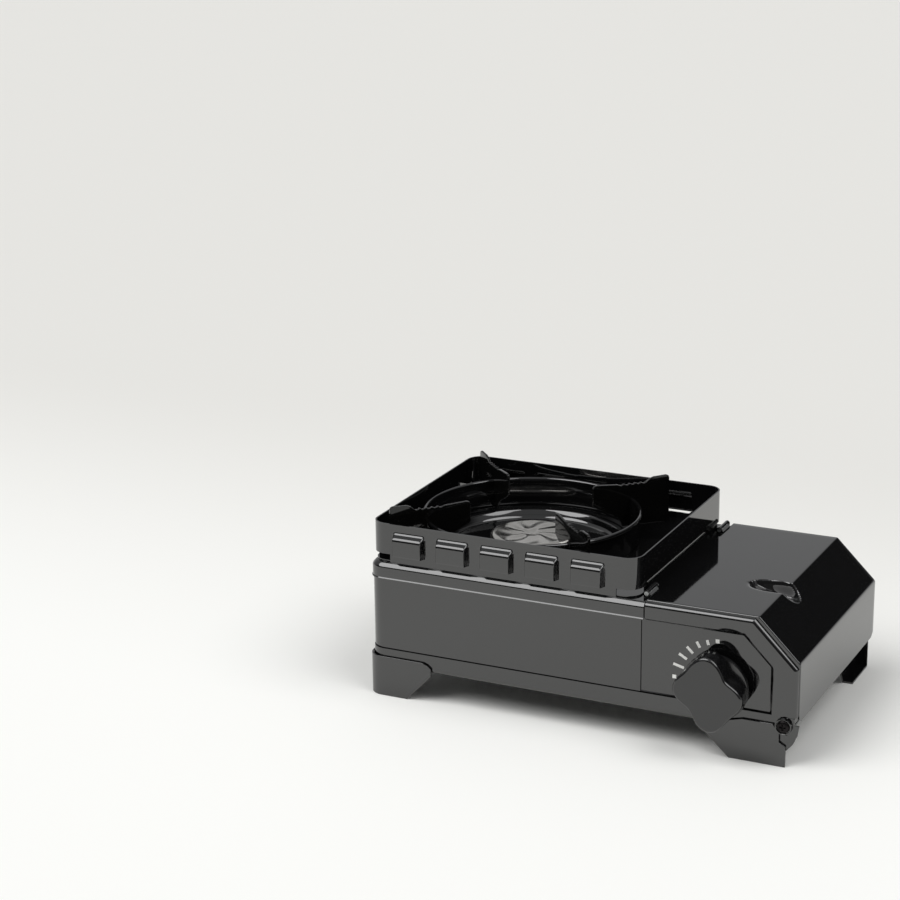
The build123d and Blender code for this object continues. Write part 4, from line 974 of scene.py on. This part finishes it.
# glossy ivory glaze
glazed_ceramic = finish("glazed_alumina", "#e6e1d6", "#f3efe6", (0.16, 0.28), 5.0, 0.6, 0.006, IOR=1.6)
# dull red-brown extruded sleeve
silicone = finish("red_brown_silicone", "#5c1f18", "#6e2a20", (0.45, 0.6), 5.0, 0.4, 0.01, IOR=1.43)
fittings = {cast_aluminium: ("regulator_body", "canister_socket", "burner_body"),
            rolled_aluminium: ("mixing_tube", "heat_panel"), brass: ("jet_nozzle", "valve_spindle"),
            igniter_plastic: ("igniter_unit", "igniter_plunger", "ignition_cam"),
            magnet_plating: ("socket_magnets",), seal_rubber: ("socket_seal",),
            glazed_ceramic: ("electrode_insulator",), silicone: ("igniter_lead",),
            bright_steel: ("spark_electrode",)}
for material, names in fittings.items():
    for node in names:
        wear(node, material)

# ---------------------------------------------------------------- floor, lamps and sky
# A seamless pale floor whose colour is painted darker with distance (painted shade for light that falls
# off), a soft key from the front left with a second softbox on the right, and a room that the enamel mirrors.
floor_half = 20000.0
painted_shade_start, painted_shade_end = -0.15, 0.55             # metres along Y over which the paper's painted shade deepens
paper, tree, place = bare_material("pale_paper_with_painted_falloff")
away = add(tree, "ShaderNodeSeparateXYZ", None, {"Vector": place})
distance = add(tree, "ShaderNodeMapRange", {"From Min": painted_shade_start, "From Max": painted_shade_end},
               {"Value": away.outputs["Y"]}, interpolation_type="SMOOTHSTEP")
# painted shade: near white in front turning greyer behind, standing in for light that falls off with distance
tint = add(tree, "ShaderNodeMix", {"A": linear("#f9f9f6"), "B": linear("#e3e2de")},
           {"Factor": distance.outputs["Result"]}, data_type="RGBA")
shader = add(tree, "ShaderNodeBsdfPrincipled", {"Roughness": 0.9, "IOR": 1.1},
             {"Base Color": tint.outputs["Result"]})
add(tree, "ShaderNodeOutputMaterial", None, {"Surface": shader.outputs["BSDF"]})
bm = bmesh.new()
skin(bm, [[(x, y, 0.0) for x in (-floor_half, floor_half)] for y in (-floor_half, floor_half)])
bm.transform(Matrix.Scale(MM, 4))
mesh = bpy.data.meshes.new("floor")
bm.to_mesh(mesh)
bm.free()
mesh.materials.append(paper)
floor = bpy.data.objects.new("floor", mesh)
bpy.context.scene.collection.objects.link(floor)


def far_lamp(name, toward_lamp, spread, strength):
    """A soft box so far off that its light is even: a sun with a wide disc."""
    lamp = bpy.data.lights.new(name, "SUN")
    lamp.angle = math.radians(spread)
    lamp.energy = strength
    holder = bpy.data.objects.new(name, lamp)
    holder.rotation_euler = (-Vector(toward_lamp)).to_track_quat("-Z", "Y").to_euler()
    bpy.context.scene.collection.objects.link(holder)


far_lamp("key", (-0.40, -0.45, 0.80), 44, 1.7)
far_lamp("side", (0.58, -0.10, 0.81), 40, 1.08)

world = bpy.data.worlds.new("studio")
bpy.context.scene.world = world
world.use_nodes = True
sky = world.node_tree
sky.nodes.clear()
toward = add(sky, "ShaderNodeTexCoord").outputs["Generated"]
parts = add(sky, "ShaderNodeSeparateXYZ", None, {"Vector": toward})


def patch(*edges):
    """A patch of more or less light: the product of smooth changes with the direction's share along an axis.

    Each edge is the axis, where the change starts and ends, and the values before and after it."""
    product = None
    for axis, start, end, before, after in edges:
        edge = add(sky, "ShaderNodeMapRange",
                   {"From Min": start, "From Max": end, "To Min": before, "To Max": after},
                   {"Value": parts.outputs[axis]}, interpolation_type="SMOOTHSTEP").outputs["Result"]
        if product:
            joined = add(sky, "ShaderNodeMath", None, {0: product, 1: edge}, operation="MULTIPLY")
            edge = joined.outputs["Value"]
        product = edge
    return product


room = 0.38             # plain light from every direction
# behind the stove, up to some 30 degrees: a pale wall on the left, a dark gap on the right
behind = (("Y", 0.0, 0.5, 0.0, 1.0), ("Z", 0.45, 0.65, 1.0, 0.0))
left_wall = patch(*behind, ("X", 0.12, -0.1, 0.0, 0.17), ("Z", 0.2, 0.5, 1.0, 0.3))
right_gap = patch(*behind, ("X", -0.1, 0.12, 0.0, -0.36), ("Z", 0.1, 0.24, 0.0, 1.0))
# brightest low down behind, where the floor runs out, and dark in front, where the room is open
horizon = patch(("Z", 0.0, 0.2, 0.4, 0.0), ("Y", -0.3, 0.0, 0.0, 1.0))
front_gap = patch(("Y", -0.35, -0.05, -0.32, 0.0), ("Z", 0.4, 0.6, 1.0, 0.0))
total = add(sky, "ShaderNodeMath", {1: room}, {0: left_wall}, operation="ADD").outputs["Value"]
for change in (right_gap, horizon, front_gap):
    total = add(sky, "ShaderNodeMath", None, {0: total, 1: change}, operation="ADD").outputs["Value"]
glow = add(sky, "ShaderNodeBackground", {"Color": linear("#fbfcfd")}, {"Strength": total})
add(sky, "ShaderNodeOutputWorld", None, {"Surface": glow.outputs["Background"]})

# ---------------------------------------------------------------- camera
# Long lens from the front right, a little above the stove. Its place is in metres.
eye = (0.503228, -1.273805, 0.569679)
yaw, pitch, roll_angle = math.radians(26.062), math.radians(16.731), math.radians(-0.662)
picture_px, focal_px = 900, 2289.746
ahead = Vector((-math.sin(yaw) * math.cos(pitch), math.cos(yaw) * math.cos(pitch), -math.sin(pitch)))
level = Vector((math.cos(yaw), math.sin(yaw), 0))
upright = level.cross(ahead)
side = level * math.cos(roll_angle) + upright * math.sin(roll_angle)
upward = upright * math.cos(roll_angle) - level * math.sin(roll_angle)
camera = bpy.data.objects.new("camera", bpy.data.cameras.new("camera"))
camera.data.sensor_width = 36.0
camera.data.lens = focal_px / picture_px * 36.0
camera.data.clip_end = 60.0
camera.matrix_world = Matrix(((side.x, upward.x, -ahead.x, eye[0]), (side.y, upward.y, -ahead.y, eye[1]),
                              (side.z, upward.z, -ahead.z, eye[2]), (0, 0, 0, 1)))
bpy.context.scene.collection.objects.link(camera)
bpy.context.scene.camera = camera
bpy.context.scene.view_settings.view_transform = "Standard"
